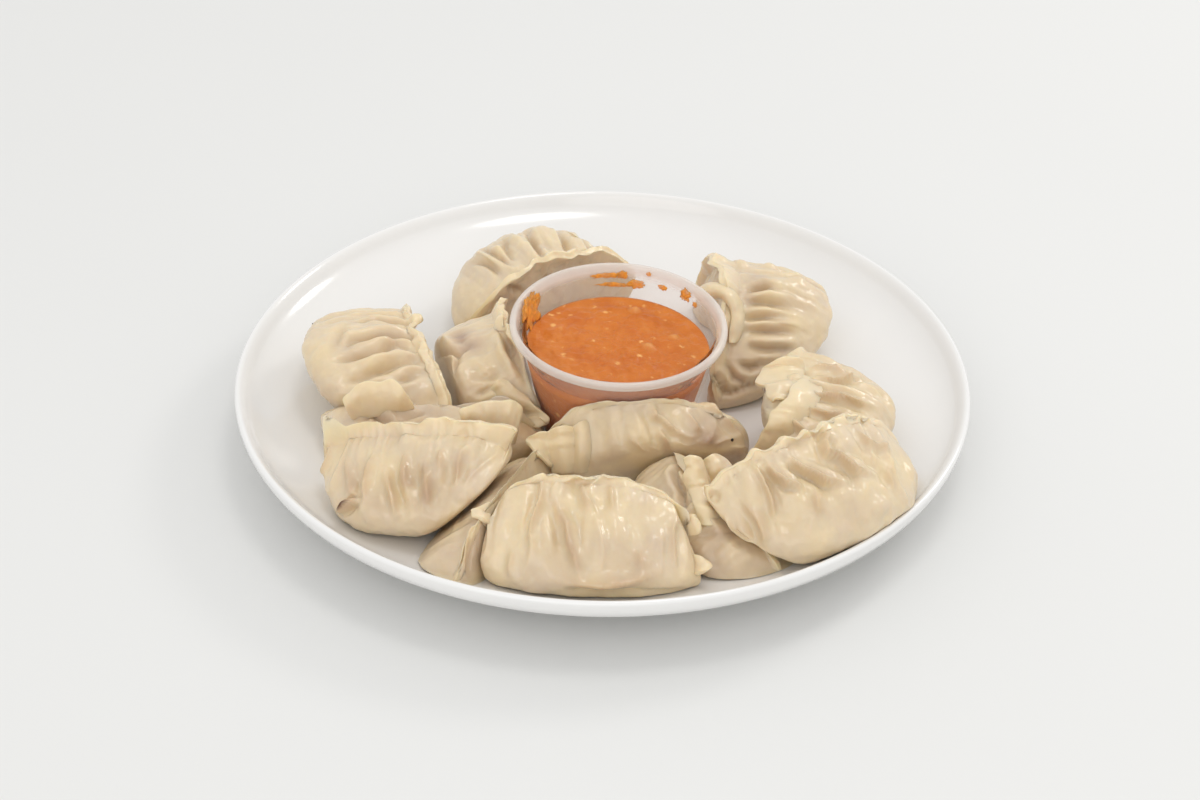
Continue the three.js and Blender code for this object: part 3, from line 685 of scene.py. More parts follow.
def plate_profile(plate):
    radius, height, wall, lip_round = plate.radius, plate.height, plate.wall, plate.lip_round
    foot, width, under_z = plate.foot_radius, plate.foot_width, plate.floor - plate.wall
    curve_r, curve_z = plate_curve(plate, 40)
    under = [(r + wall * 0.6, z - wall) for r, z in zip(curve_r, curve_z) if foot + 4 < r < radius - 7]
    lip = [(radius - lip_round * (1 - math.cos(turn)), height - lip_round * (1 - math.sin(turn)))
           for turn in np.linspace(0, math.pi / 2, 7)]
    # From the lip the inside falls steeply at first, as a sine of up to this many radians.
    steep = 1.45
    gap_r, gap_z = radius - lip_round - curve_r[-1], height - curve_z[-1]
    inside = [(curve_r[-1] + gap_r * k, curve_z[-1] + gap_z * math.sin(k * steep) / math.sin(steep))
              for k in (0.8, 0.6, 0.4, 0.2)]
    return [
        (0, under_z),
        (foot - width - 0.6, under_z),
        (foot - width + 0.2, 1.0),
        (foot - width + 1.0, 0.15),
        (foot - width + 1.4, 0),
        (foot - 0.4, 0),
        (foot, 0.3),
        (foot + 0.9, under_z - 0.4),
        (foot + 2.2, under_z),
        *under,
        (radius - 1.6, height - 6.5),
        (radius - 0.25, height - 3.6),
        *lip,
        *inside,
        *zip(curve_r[::-1], curve_z[::-1]),
        (0, plate.floor),
    ]


def glazed_stoneware(plate):
    """Glazed stoneware: a white glassy coat that ran evenly in the kiln, so its gloss is sharp and its
    surface has only the faint slow waves of the pressed clay under it."""
    material, tree, shader = new_material("glazed_stoneware", {
        "Roughness": 0.16, "IOR": 1.52, "Coat Weight": 0.3, "Coat Roughness": 0.05})
    here = {"Vector": add_node(tree, "TexCoord").outputs["Object"]}
    # The glaze is a little greyer where it lies thin, in patches of about 30 mm.
    patches = add_node(tree, "TexNoise", here, in_Scale=every(30.303), in_Detail=2.0)
    tint = add_node(tree, "Mix", {"Factor": patches.outputs["Fac"]}, data_type="RGBA",
                    in_6=(*plate.glaze, 1), in_7=shade("#e9e8e6"))
    waves = add_node(tree, "TexNoise", here, in_Scale=every(16.667), in_Detail=1.0)
    relief = add_node(tree, "Bump", {"Height": waves.outputs["Fac"]}, in_Strength=0.05, in_Distance=0.4 * MM)
    join(tree, shader, {"Base Color": tint.outputs[2], "Normal": relief.outputs["Normal"]})
    return material


class MOMO_OT_plate(bpy.types.Operator):
    """Makes the white coupe plate"""

    bl_idname = "momo.plate"
    bl_label = "Plate"

    def execute(self, context):
        plate = in_millimetres("momo_plate")
        bm = turned(plate_profile(plate), plate.segments)
        new_object("coupe_plate", bm, glazed_stoneware(plate), "plate", slot="plate")
        return {"FINISHED"}


# ---------------------------------------------------------------- cup and dip


def cup_matrix(cup, plate):
    """The cup's own frame, tipped a little, in millimetres."""
    turn = Euler((cup.tilt_forward, cup.tilt_right, 0), "XYZ")
    lowest = cup.base_radius * math.hypot(math.sin(cup.tilt_forward), math.sin(cup.tilt_right))
    return Matrix.Translation((*cup.place, plate.floor + CUP_GAP + lowest)) @ turn.to_matrix().to_4x4()


def cup_outer(cup, height):
    wall_top = cup.height - cup.lip_height
    wall = cup.base_radius + (cup.mouth_radius - cup.base_radius) * np.clip(height / wall_top, 0, 1)
    return np.where(height > wall_top - 1, cup.lip_radius, wall)


def cup_inner(cup, height):
    return cup.base_radius + (cup.mouth_radius - cup.base_radius) * (height / cup.height) - cup.wall


def cup_profile(cup):
    height, base, mouth, lip, wall = cup.height, cup.base_radius, cup.mouth_radius, cup.lip_radius, cup.wall
    floor, step, at, below = cup.floor, cup.stack_step, height - cup.stack_drop, height - cup.lip_height
    return [
        (0, 0.5),
        (base - 3.2, 0.5),
        (base - 2.4, 0.08),
        (base - 1.6, 0),
        (base - 0.7, 0.05),
        (base - 0.1, 0.7),
        *[(base + (mouth - base) * h / below, h) for h in np.linspace(3, below - 1.2, 9)],
        (mouth, below - 0.2),
        (mouth + 0.7, below + 0.1),
        (lip - 0.5, below + 0.15),
        (lip - 0.08, below + 0.5),
        (lip, below + 1.2),
        (lip - 0.1, height - 1.0),
        (lip - 0.5, height - 0.3),
        (lip - 1.2, height),
        (mouth + 0.2, height - 0.1),
        (mouth - wall + 0.75, height - 0.5),
        (mouth - wall + 0.35, height - 1.3),
        (mouth - wall + 0.05, height - 2.6),
        (cup_inner(cup, at + 3) + step * 0.5, at + 3),
        (cup_inner(cup, at) + step * 0.5, at + 0.5),
        (cup_inner(cup, at) + step * 0.2, at + 0.05),
        (cup_inner(cup, at) - 0.1, at - 0.6),
        *[(cup_inner(cup, h), h) for h in np.linspace(at - 4, floor + 1.6, 8)],
        (cup_inner(cup, floor) - 0.4, floor + 0.4),
        (cup_inner(cup, floor) - 1.3, floor),
        (0, floor),
    ]


def clear_polypropylene(cup):
    """Clear polypropylene, thermoformed thin: milky rather than glassy, so what lies behind it shows pale
    and soft, with a broad gloss along the rolled lip."""
    material, tree, shader = new_material("clear_polypropylene", {"Roughness": 0.22, "IOR": 1.49})
    here = {"Vector": add_node(tree, "TexCoord").outputs["Object"]}
    # Where the dip wets the wall, its haze goes and the dip shows through.
    wet = add_node(tree, "Attribute", attribute_name="wet")
    clear = add_node(tree, "MapRange", {"Value": wet.outputs["Fac"]}, in_3=0.62, in_4=0.14)
    haze = add_node(tree, "TexNoise", here, in_Scale=every(7.143), in_Detail=2.0)
    tint = add_node(tree, "Mix", {"Factor": haze.outputs["Fac"]}, data_type="RGBA",
                    in_6=(*cup.plastic, 1), in_7=shade("#e9ded3"))
    # Forming drew the sheet in fine rings, about 1 mm apart: the texture's wave comes again every
    # tau / 20 of its own unit.
    rings = add_node(tree, "TexWave", here, bands_direction="Z", in_Scale=320.0, in_Distortion=0.6)
    relief = add_node(tree, "Bump", {"Height": rings.outputs["Fac"]}, in_Strength=0.15, in_Distance=0.05 * MM)
    join(tree, shader, {"Alpha": clear.outputs[0], "Base Color": tint.outputs[2],
                        "Normal": relief.outputs["Normal"]})
    return material


def ground_dip(dip):
    """Tomato and sesame dip, ground smooth: thick and moist, a soft sheen with pale sesame flecks, bits of
    garlic and darker oily patches."""
    material, tree, shader = new_material("ground_dip", {
        "Roughness": 0.3, "IOR": 1.36, "Subsurface Weight": 0.1, "Subsurface Radius": (1.0, 0.35, 0.12),
        "Subsurface Scale": 1.5 * MM})
    here = {"Vector": add_node(tree, "TexCoord").outputs["Object"]}
    patches = add_node(tree, "TexNoise", here, in_Scale=every(11.111), in_Detail=5.0, in_Roughness=0.62)
    oily = add_node(tree, "MapRange", {"Value": patches.outputs["Fac"]}, in_1=0.36, in_2=0.64)
    ground = add_node(tree, "Mix", {"Factor": oily.outputs[0]}, data_type="RGBA",
                      in_6=(*dip.sauce_dark, 1), in_7=(*dip.sauce, 1))
    # Flecks of sesame of about 1 mm, some 4 mm apart, and not in every place.
    flecks = add_node(tree, "TexVoronoi", here, in_Scale=every(4.348))
    dots = add_node(tree, "MapRange", {"Value": flecks.outputs["Distance"]}, in_1=0.3, in_2=0.12)
    rare = add_node(tree, "TexNoise", here, in_Scale=every(2.381))
    some = add_node(tree, "MapRange", {"Value": rare.outputs["Fac"]}, in_1=0.5, in_2=0.62)
    sesame = add_node(tree, "Math", {0: dots.outputs[0], 1: some.outputs[0]}, operation="MULTIPLY")
    garlic = add_node(tree, "Attribute", attribute_name="garlic")
    pale = add_node(tree, "MapRange", {"Value": garlic.outputs["Fac"]}, in_1=0.05, in_2=0.9, in_4=0.45)
    bits = add_node(tree, "Math", {0: sesame.outputs[0], 1: pale.outputs[0]}, operation="MAXIMUM")
    mixed = add_node(tree, "Mix", {"Factor": bits.outputs[0], 6: ground.outputs[2]},
                     data_type="RGBA", in_7=shade("#f0b46c"))
    grain = add_node(tree, "TexNoise", here, in_Scale=every(1.4286), in_Detail=3.0)
    relief = add_node(tree, "Bump", {"Height": grain.outputs["Fac"]}, in_Strength=0.8, in_Distance=0.4 * MM)
    join(tree, shader, {"Base Color": mixed.outputs[2], "Normal": relief.outputs["Normal"]})
    return material


def dip_bmesh(cup, dip):
    """The dip, which fills the cup to its level and reaches just into the wall, and where it holds garlic."""
    level, base, into = cup.height - dip.below_lip, cup.floor - 0.15, 0.12
    side = [(cup_inner(cup, h) + into, h) for h in np.linspace(base + 1.9, level + 0.5, 8)]
    edge = cup_inner(cup, level)
    # The top mounds up in the middle and creeps up the wall at its edge.
    top = [(edge * k, level + dip.mound * (1 - k * k) + 0.5 * math.exp(-(1 - k) * 30))
           for k in np.linspace(0.985, 0.0, 46)]
    bm = turned([(0, base), (cup_inner(cup, base) - 1.2, base), *side, *top], cup.segments)
    points = coordinates(bm)
    calm = np.clip((0.97 - np.hypot(points[:, 0], points[:, 1]) / edge) * 12, 0, 1)
    calm *= points[:, 2] > level - 0.3
    slow = [noise.noise(Vector((x * 0.09, y * 0.13, 3.1))) for x, y, _ in points]
    lumps = [noise.fractal(Vector((x * 0.34, y * 0.34, 7.7)), 0.8, 2.1, 4) for x, y, _ in points]
    points[:, 2] += calm * (0.5 * np.array(slow) + 0.7 * np.array(lumps))
    garlic = np.zeros(len(points))
    for x, y, radius, height in GARLIC:
        apart = np.hypot(points[:, 0] - x, points[:, 1] - y)
        near = bump(np.minimum(1, apart / radius)) * (points[:, 2] > level - 0.3)
        garlic = np.maximum(garlic, near)
        points[:, 2] += height * near
    place(bm, points)
    return bm, garlic


def thin_dip(dip):
    """The same dip where it was smeared thin on the plastic: brighter, yellower and glossy, with the
    plastic showing through where it is thinnest."""
    material, tree, shader = new_material("thin_dip", {
        "Base Color": (*dip.smear, 1), "Roughness": 0.25, "IOR": 1.36, "Subsurface Weight": 0.2,
        "Subsurface Radius": (1.0, 0.5, 0.2), "Subsurface Scale": 1 * MM})
    here = {"Vector": add_node(tree, "TexCoord").outputs["Object"]}
    # Drops and streaks of about 2.5 mm.
    drops = add_node(tree, "TexNoise", here, in_Scale=every(2.5), in_Detail=4.0)
    cover = add_node(tree, "MapRange", {"Value": drops.outputs["Fac"]}, in_1=0.35, in_2=0.65, in_3=0.45)
    join(tree, shader, {"Alpha": cover.outputs[0]})
    return material


def smears_bmesh(cup, level, smears):
    """Blobs of dip pressed flat on the inside of the wall, thin and ragged at their edges."""
    bm = bmesh.new()
    for middle, half_angle, height, half_height, thick, seed in smears:
        for vert in bmesh.ops.create_icosphere(bm, subdivisions=4, radius=1)["verts"]:
            u, v, w = vert.co
            ragged = 1 + 0.45 * noise.noise(Vector((u * 2.3, v * 2.3, seed)))
            ragged += 0.4 * noise.noise(Vector((u * 5, v * 5, seed)))
            turn = math.radians(middle + half_angle * u * ragged)
            up = level + height + half_height * v * ragged
            radius = cup_inner(cup, up) - 0.03 - thick * (w + 1) / 2
            vert.co = (radius * math.cos(turn), radius * math.sin(turn), up)
    return bm


class MOMO_OT_cup(bpy.types.Operator):
    """Makes the clear portion cup"""

    bl_idname = "momo.cup"
    bl_label = "Portion cup"

    def execute(self, context):
        cup, dip, plate = map(in_millimetres, ("momo_cup", "momo_dip", "momo_plate"))
        bm = turned(cup_profile(cup), cup.segments)
        # The dip wets the wall up to 9 mm over its level.
        wet = np.clip((cup.height - dip.below_lip + 9 - coordinates(bm)[:, 2]) / 1.5, 0, 1)
        bmesh.ops.transform(bm, matrix=cup_matrix(cup, plate), verts=bm.verts)
        store(new_object("portion_cup", bm, clear_polypropylene(cup), "dip_cup", slot="cup"), wet=wet)
        return {"FINISHED"}


class MOMO_OT_dip(bpy.types.Operator):
    """Makes the dip in the cup"""

    bl_idname = "momo.dip"
    bl_label = "Dip"

    def execute(self, context):
        cup, dip, plate = map(in_millimetres, ("momo_cup", "momo_dip", "momo_plate"))
        level, thick, thin = cup.height - dip.below_lip, ground_dip(dip), thin_dip(dip)
        bm, garlic = dip_bmesh(cup, dip)
        film, smears = smears_bmesh(cup, level, FILM), smears_bmesh(cup, level, SMEARS)
        for each in (bm, film, smears):
            bmesh.ops.transform(each, matrix=cup_matrix(cup, plate), verts=each.verts)
        store(new_object("ground_dip", bm, thick, "dip", slot="dip"), garlic=garlic)
        new_object("dip_film", film, thick, slot="dip")
        new_object("dip_smears", smears, thin, slot="dip")
        return {"FINISHED"}


# ---------------------------------------------------------------- momos


def wander(seed, u, v):
    """A few slow waves, different for every seed, between about -1 and 1."""
    return (0.5 * np.sin(2.3 * u + 1.7 * seed + 0.8 * v) + 0.3 * np.sin(3.9 * v + 2.9 * seed - 1.3 * u)
            + 0.2 * np.sin(6.1 * u + 4.3 * v + 5.1 * seed))


def scatter(i, j, seed):
    """Random numbers from -1 to 1 that depend only on two whole numbers and a seed."""
    value = np.sin(i * 127.1 + j * 311.7 + seed * 74.7) * 43758.5453
    return 2 * (value - np.floor(value)) - 1


def ripple(x, y, seed):
    """Smooth random heights from -1 to 1 over a lattice of whole numbers."""
    i, j = np.floor(x), np.floor(y)
    u, v = x - i, y - j
    u, v = u * u * (3 - 2 * u), v * v * (3 - 2 * v)
    near = scatter(i, j, seed) * (1 - u) + scatter(i + 1, j, seed) * u
    far = scatter(i, j + 1, seed) * (1 - u) + scatter(i + 1, j + 1, seed) * u
    return near * (1 - v) + far * v


def crescent(momo, t):
    """How far the crescent bends away from its pleated side, its ends more than its middle."""
    return momo.bend * (t * t - 0.35)


def pleat_wave(number, steep, seed):
    """One pleat after another, no two alike: round on top, sharp in the valley, steep on one side."""
    whole = np.floor(number)
    phase = number - whole
    rise = np.where(phase < 1 - steep, phase / (1 - steep), (1 - phase) / steep)
    return (1.15 + 0.4 * scatter(whole, 0, seed)) * np.sin(math.pi / 2 * rise) - 0.65


def skin_point(momo, dough, t, s):
    """Points of a momo's skin in its own frame, at t from -1 to 1 along it and s from -1 to 1 around it:
    0 is the edge of the flange, 1 the base down the pleated side, and -1 the base down the smooth side.
    Also gives how far each point is up the flange, and how deep in a valley between pleats, which sets
    the painted shade there."""
    pleated_side, down, reach = s >= 0, np.abs(s), np.abs(t)
    outward = np.where(pleated_side, -1.0, 1.0)
    tip = np.where(t < 0, *momo.tips)
    full = np.sqrt(np.maximum(0, 1 - reach ** BELLY))
    base = tip * (1 - np.sqrt(np.maximum(0, 1 - reach ** BASE)))
    crest = tip + (momo.height - tip) * np.maximum(0, 1 - reach ** momo.arch) ** ARCH
    plain = np.minimum(momo.flange, dough.flange_share * (crest - base))
    high, fold, out = plain.copy(), np.zeros_like(t), np.zeros_like(t)
    for at, wide, rise, over, along in momo.flaps:
        share = bump((t - at) / wide) * np.minimum(1, 3 * full)
        high += rise * share
        fold += over * share
        out += along * share
    shoulder = crest - plain
    thin = np.minimum(1, 2.5 * full)
    number = (t + 1) / 2 * momo.pleats + PLEAT_DRIFT * np.sin(5 * t + momo.seed)

    # The thin standing flange, from its root at edge 0 to its wavy top at edge 1.
    edge = np.clip((ROOT_AT - down) / (ROOT_AT - EDGE_AT), 0, 1)
    rounding = np.sin(math.pi / 2 * np.minimum(1, down / EDGE_AT))
    half = dough.edge_half + (dough.root_half - dough.edge_half) * (1 - edge)
    flange_y = outward * half * thin * rounding + fold * edge ** 1.5
    flange_y += dough.edge_wave * edge * full * np.sin(math.pi * number)
    flange_y += dough.curl * edge * full * ripple(CURLS_ACROSS * t, 0 * t, momo.seed + 30)
    flange_z = shoulder + high * edge + dough.curl * edge * full * ripple(CURLS_UP * t, 0 * t, momo.seed + 31)

    # The side, from the flange's root at q 0 to the middle of the base at q 1.
    q = np.clip((down - ROOT_AT) / (1 - ROOT_AT), 0, 1)
    belly = np.where(pleated_side, momo.pleated, momo.smooth) * np.sin(math.pi * q ** LOW) ** FLAT
    folded = momo.pleating * np.sin(math.pi * np.minimum(1, q + PLEAT_START)) ** 2 * pleated_side
    wave = pleat_wave(number + 2 * momo.slant * q, dough.pleat_steep, momo.seed)
    valley = np.clip(-0.1 - 1.6 * wave, 0, 1) * folded
    lump = dough.lump * wander(momo.seed, 2 * t, outward * q * 3) * np.sin(math.pi * q)
    bulge = full * (belly + dough.pleat_depth * folded * wave + lump)
    side_y = outward * (dough.root_half * (1 - q) * thin + bulge)
    side_z = base + (shoulder - base) * (0.5 + 0.5 * np.cos(math.pi * q ** SLOPE))

    on_flange = down < ROOT_AT
    x = momo.length / 2 * t + np.where(on_flange, out * edge, 0)
    y = np.where(on_flange, flange_y, side_y) + crescent(momo, t)
    z = np.where(on_flange, flange_z, side_z)
    return np.stack([x, y, z], 1), edge, np.where(on_flange, 0, valley)


def momo_matrix(momo):
    """A momo's place, in millimetres: its heading, then its lift, then its lean."""
    heading = Matrix.Rotation(math.radians(momo.heading), 4, "Z")
    lift = Matrix.Rotation(math.radians(-momo.tilt), 4, "Y")
    lean = Matrix.Rotation(math.radians(-momo.lean), 4, "X")
    return Matrix.Translation(momo.at) @ heading @ lift @ lean


def moved(points, matrix):
    matrix = np.array(matrix)
    return points @ matrix[:3, :3].T + matrix[:3, 3]


def on_skin(momo, dough, t, s):
    """Points of a momo's skin where it lies, at places in hundredths."""
    t, s = np.atleast_1d(t) / 100, np.atleast_1d(s) / 100
    return moved(skin_point(momo, dough, t, s)[0], momo_matrix(momo))


def spine_of(momo):
    """The line through the middle of a momo's belly and the room that the belly claims round it."""
    offset = (momo.smooth - momo.pleated) / 2
    ends = [momo_matrix(momo) @ Vector((momo.length / 2 * t, offset + crescent(momo, t),
                                        SPINE_HEIGHT * momo.height)) for t in (-SPINE_REACH, SPINE_REACH)]
    return np.array(ends), momo.firm * (momo.smooth + momo.pleated) / 2


def nearest_share(ends, point):
    """How far along a line its point nearest to another point lies, from 0 to 1."""
    line = ends[1] - ends[0]
    return float(np.clip((point - ends[0]) @ line / (line @ line), 0, 1))


def contact_plane(momo, other):
    """Two momos that meet are pressed flat on the plane between their bellies."""
    (mine, my_radius), (theirs, their_radius) = spine_of(momo), spine_of(other)
    start = mine.mean(0)
    for _ in range(SPINE_WALK):
        far = theirs[0] + (theirs[1] - theirs[0]) * nearest_share(theirs, start)
        start = mine[0] + (mine[1] - mine[0]) * nearest_share(mine, far)

    def room(ends, radius, point):
        along = 2 * nearest_share(ends, point) - 1
        return radius * (1 - SPINE_TAPER * along * along)

    apart = np.linalg.norm(far - start)
    normal = (far - start) / apart
    my_room, their_room = room(mine, my_radius, start), room(theirs, their_radius, far)
    return normal, start @ normal + apart * my_room / (my_room + their_room) - GAP


def pressed(points, contacts, cup, plate):
    """Presses points of dough clear of the neighbours, the cup and the plate."""
    for normal, limit in contacts:
        distance = points @ normal
        points = points + np.outer(give_way(distance, limit, GIVE_MOMO) - distance, normal)
    matrix = np.array(cup_matrix(cup, plate))
    local = moved(points, np.linalg.inv(matrix))
    radius = np.hypot(local[:, 0], local[:, 1])
    clear = -give_way(-radius, -(cup_outer(cup, local[:, 2]) + GAP), GIVE_CUP)
    local[:, :2] *= (clear / radius)[:, None]
    points = moved(local, matrix)
    floor = plate_top(plate, np.hypot(points[:, 0], points[:, 1])) + GAP
    points[:, 2] = -give_way(-points[:, 2], -floor, GIVE_PLATE)
    return points


def steamed_dough(dough):
    """Wheat dough, rolled thin and steamed: moist and a little see-through, creamy where it is thick at the
    seam, grey where the filling shows through, with yellow-brown painted shade deep in the folds, dark brown
    painted shadow inside the tears, a painted highlight in the seam's pale colour on raised skin, and painted
    shade in two large stains of the filling's colour. Rolling and steaming left its surface faintly pitted
    under a film of water."""
    material, tree, shader = new_material("steamed_dough", {
        "IOR": 1.42, "Subsurface Weight": 0.42, "Subsurface Radius": (1.0, 0.7, 0.45),
        "Subsurface Scale": 2.8 * MM, "Coat Weight": 0.5, "Coat Roughness": 0.1})
    here = {"Vector": add_node(tree, "TexCoord").outputs["Object"]}
    # Uneven rolling left cloudy patches of about 14 mm, and flour dried paler in patches of about 5 mm.
    clouds = add_node(tree, "TexNoise", here, in_Scale=every(14.286), in_Detail=4.0).outputs["Fac"]
    flour = add_node(tree, "TexNoise", here, in_Scale=every(4.762), in_Detail=3.0).outputs["Fac"]
    edge, crease, filling = (add_node(tree, "Attribute", attribute_name=name).outputs["Fac"]
                             for name in ("edge", "crease", "filling"))
    # The filling shows through the skin in its own stains, broken up by the flour; two large stains are
    # painted shade.
    broken = add_node(tree, "MapRange", {"Value": flour}, in_1=0.25, in_2=0.7, in_3=0.5)
    stains = add_node(tree, "Math", {0: filling, 1: broken.outputs[0]}, operation="MULTIPLY")
    # Colours laid over each other: what each follows, from where to where, how much there is, and its shade.
    layers = [
        (clouds, 0.35, 0.7, 1, (*dough.thin, 1)),
        (flour, 0.5, 0.8, 0.5, (*dough.edge, 1)),
        (stains.outputs[0], 0, 1, 1, (*dough.filling, 1)),
        # The seam's thick dough is creamy, and raised skin gets the same colour as a painted highlight.
        (edge, 0, 1, 0.6, (*dough.edge, 1)),
        # Painted shade in the creases and in the valleys between pleats.
        (crease, 0, 1, 0.42, (*dough.shade, 1)),
        # Painted shadow, dark brown, inside the tears.
        (crease, 1.1, 1.8, 1, shade("#5c3a22")),
    ]
    below = {}
    for source, low, high, most, tint in layers:
        much = add_node(tree, "MapRange", {"Value": source}, in_1=low, in_2=high, in_4=most)
        skin = add_node(tree, "Mix", {"Factor": much.outputs[0], **below}, data_type="RGBA",
                        in_6=(*dough.skin, 1), in_7=tint)
        below = {6: skin.outputs[2]}
    gloss = add_node(tree, "MapRange", {"Value": clouds}, in_1=0.3, in_2=0.7, in_3=0.32, in_4=0.5)
    grain = add_node(tree, "TexNoise", here, in_Scale=every(1.1111), in_Detail=3.0)
    relief = add_node(tree, "Bump", {"Height": grain.outputs["Fac"]}, in_Strength=0.3, in_Distance=0.2 * MM)
    join(tree, shader, {"Base Color": skin.outputs[2], "Roughness": gloss.outputs[0],
                        "Normal": relief.outputs["Normal"]})
    return material


def crease_relief(kind, depth, width, apart, side):
    """Height of a crease at points this far from its line."""
    if kind == "ridge":
        return depth * np.exp(-(apart / width) ** 2)
    if kind == "tear":
        return depth * (0.5 * np.exp(-((apart / width - 2) / 0.9) ** 2) - np.exp(-(apart / width) ** 4))
    if kind == "fold":
        return depth * (0.1 + 0.5 * np.tanh(side / (0.35 * width))) * np.exp(-(side / (2.2 * width)) ** 2)
    return depth * (0.35 * np.exp(-((apart / width - 2) / 1.1) ** 2) - np.exp(-(apart / width) ** 1.4))


def add_creases(momo, dough, points, normals, creases):
    """Each point's shift along its normal, and how deep it lies in a crease: 0 to 1, or 2 in a tear. That
    depth sets the painted shade in a crease and the dark brown painted shadow in a tear.
    """
    shift, deep = np.zeros(len(points)), np.zeros(len(points))
    for kind, depth, width, *path in creases:
        corners = np.reshape(path, (-1, 2))
        steps = np.linspace(0, len(corners) - 1, 12 * (len(corners) - 1) + 1)
        line = on_skin(momo, dough, *(np.interp(steps, range(len(corners)), column) for column in corners.T))
        reach = 5 * width
        near = np.flatnonzero(((points > line.min(0) - reach) & (points < line.max(0) + reach)).all(1))
        gaps = points[near, None] - line[None]
        square = (gaps ** 2).sum(2)
        nearest = square.argmin(1)
        gaps, apart = gaps[np.arange(len(near)), nearest], np.sqrt(square.min(1))
        # The skin's normal along the line, taken at every sixth step, tells its two sides apart.
        anchors = [np.linalg.norm(points - at, axis=1).argmin() for at in line[::6]]
        upward = normals[anchors][np.minimum(nearest // 6, len(anchors) - 1)]
        side = np.sign((np.cross(upward, np.gradient(line, axis=0)[nearest]) * gaps).sum(1)) * apart
        facing = np.clip(1.6 * (normals[near] * upward).sum(1) + 0.2, 0, 1)
        along = np.clip(nearest / (len(line) - 1), 0.02, 0.98)
        strength = facing * np.sin(math.pi * along) ** 0.6
        shift[near] += strength * crease_relief(kind, depth, width, apart, side)
        if kind != "ridge":
            most = 2 if kind == "tear" else min(1, depth / 2)
            deep[near] = np.maximum(deep[near], most * strength * np.exp(-(apart / width) ** 2))
    return shift, deep


def momo_bmesh(momo, dough, cup, plate):
    """A momo's mesh, and the values that its material needs at each vertex."""
    bm = bmesh.new()
    bmesh.ops.create_uvsphere(bm, u_segments=dough.around, v_segments=dough.along, radius=1)
    ball = coordinates(bm)
    polar = np.arccos(np.clip(ball[:, 2], -1, 1))
    even = 1 - 2 * polar / math.pi
    t = np.clip(even + 0.35 * (np.cos(polar) - even), -1, 1)
    s = np.arctan2(ball[:, 1], ball[:, 0]) / math.pi
    points, edge, valley = skin_point(momo, dough, t, s)
    points = moved(points, momo_matrix(momo))
    place(bm, points)
    bmesh.ops.recalc_face_normals(bm, faces=bm.faces)
    bm.normal_update()
    normals = np.array([v.normal for v in bm.verts])

    def round_spot(spot_t, spot_s):
        """How near each point lies to a spot on the skin, and how much it faces the same way."""
        apart = np.linalg.norm(points - on_skin(momo, dough, spot_t, spot_s), axis=1)
        return apart, np.clip(1.6 * (normals @ normals[apart.argmin()]) + 0.2, 0, 1)

    marks = MARKS[momo.name]
    kinds = ("groove", "fold", "ridge", "tear")
    creases = [(kind, *crease) for kind in kinds for crease in marks.get(kind, [])]
    # The creases' depth also sets their painted shade, and a tear's depth sets its dark brown painted shadow.
    shift, crease = add_creases(momo, dough, points, normals, creases)
    for radius, height, *spot in marks["lump"]:
        apart, facing = round_spot(*spot)
        shift += height * facing * bump(np.minimum(1, apart / radius))
    # Fine wrinkles run down from the seam and die out over the belly, and the filling lifts the skin.
    down, inner = np.abs(s), 1 - np.abs(t)
    from_seam = np.minimum(1, down / ROOT_AT)
    gathered = np.clip(1.5 - 2.2 * down, 0, 1) * from_seam * np.clip(6 * inner, 0, 1)
    slanted = 2 * momo.slant * down
    wrinkles = ripple(WRINKLES_ALONG * t + 1.5 * slanted, WRINKLES_DOWN * s, momo.seed)
    shift += dough.wrinkle * gathered * wrinkles
    # Soft folds fall from the seam: round between, sharp where they meet, each its own width and course.
    course = 0.9 * ripple(2.5 * t, 4 * s, momo.seed + 20)
    falls = np.abs(ripple(momo.length / DRAPE_EVERY * t + slanted + course, 2.2 * s, momo.seed + 21))
    hanging = np.clip(2.1 - 2.6 * down, 0, 1) * np.where(s > 0, 1, 0.6) * np.clip(5 * inner, 0, 1)
    shift += dough.drape * hanging * from_seam * (falls - 0.3)
    lumps = np.array([noise.noise(v.co * 0.16) + 0.35 * noise.noise(v.co * 0.42) for v in bm.verts])
    shift += dough.lump * lumps * np.clip(3 * inner, 0, 1)
    contacts = [contact_plane(momo, other) for other in MOMOS if other is not momo]
    place(bm, pressed(points + shift[:, None] * normals, contacts, cup, plate))

    # Stains where the filling shows through, two of them large ones of painted shade.
    filling = np.zeros(len(points))
    for strength, radius, *spot in marks["stain"]:
        apart, facing = round_spot(*spot)
        filling = np.maximum(filling, strength * facing * np.exp(-(apart / radius) ** 2))
    # Raised skin takes the seam's pale colour as a painted highlight.
    edge = np.maximum(edge, 0.5 * np.clip(shift / 2, 0, 1))
    # The crease value, from the creases and the valleys between pleats, sets the painted shade.
    return bm, {"edge": edge, "crease": np.maximum(crease, 0.4 * valley), "filling": filling}


def through(number, x):
    """How much each of some evenly spaced points counts at x, from 0 to 1, on a smooth curve through them."""
    points = np.eye(number)
    points = np.vstack([2 * points[0] - points[1], points, 2 * points[-1] - points[-2]])
    at = np.clip(np.floor(x * (number - 1)), 0, number - 2).astype(int)
    f = (x * (number - 1) - at)[:, None]
    before, start, end, after = (points[at + k] for k in range(4))
    bend = 2 * before - 5 * start + 4 * end - after + f * (3 * (start - end) + after - before)
    return start + f / 2 * (end - before + f * bend)


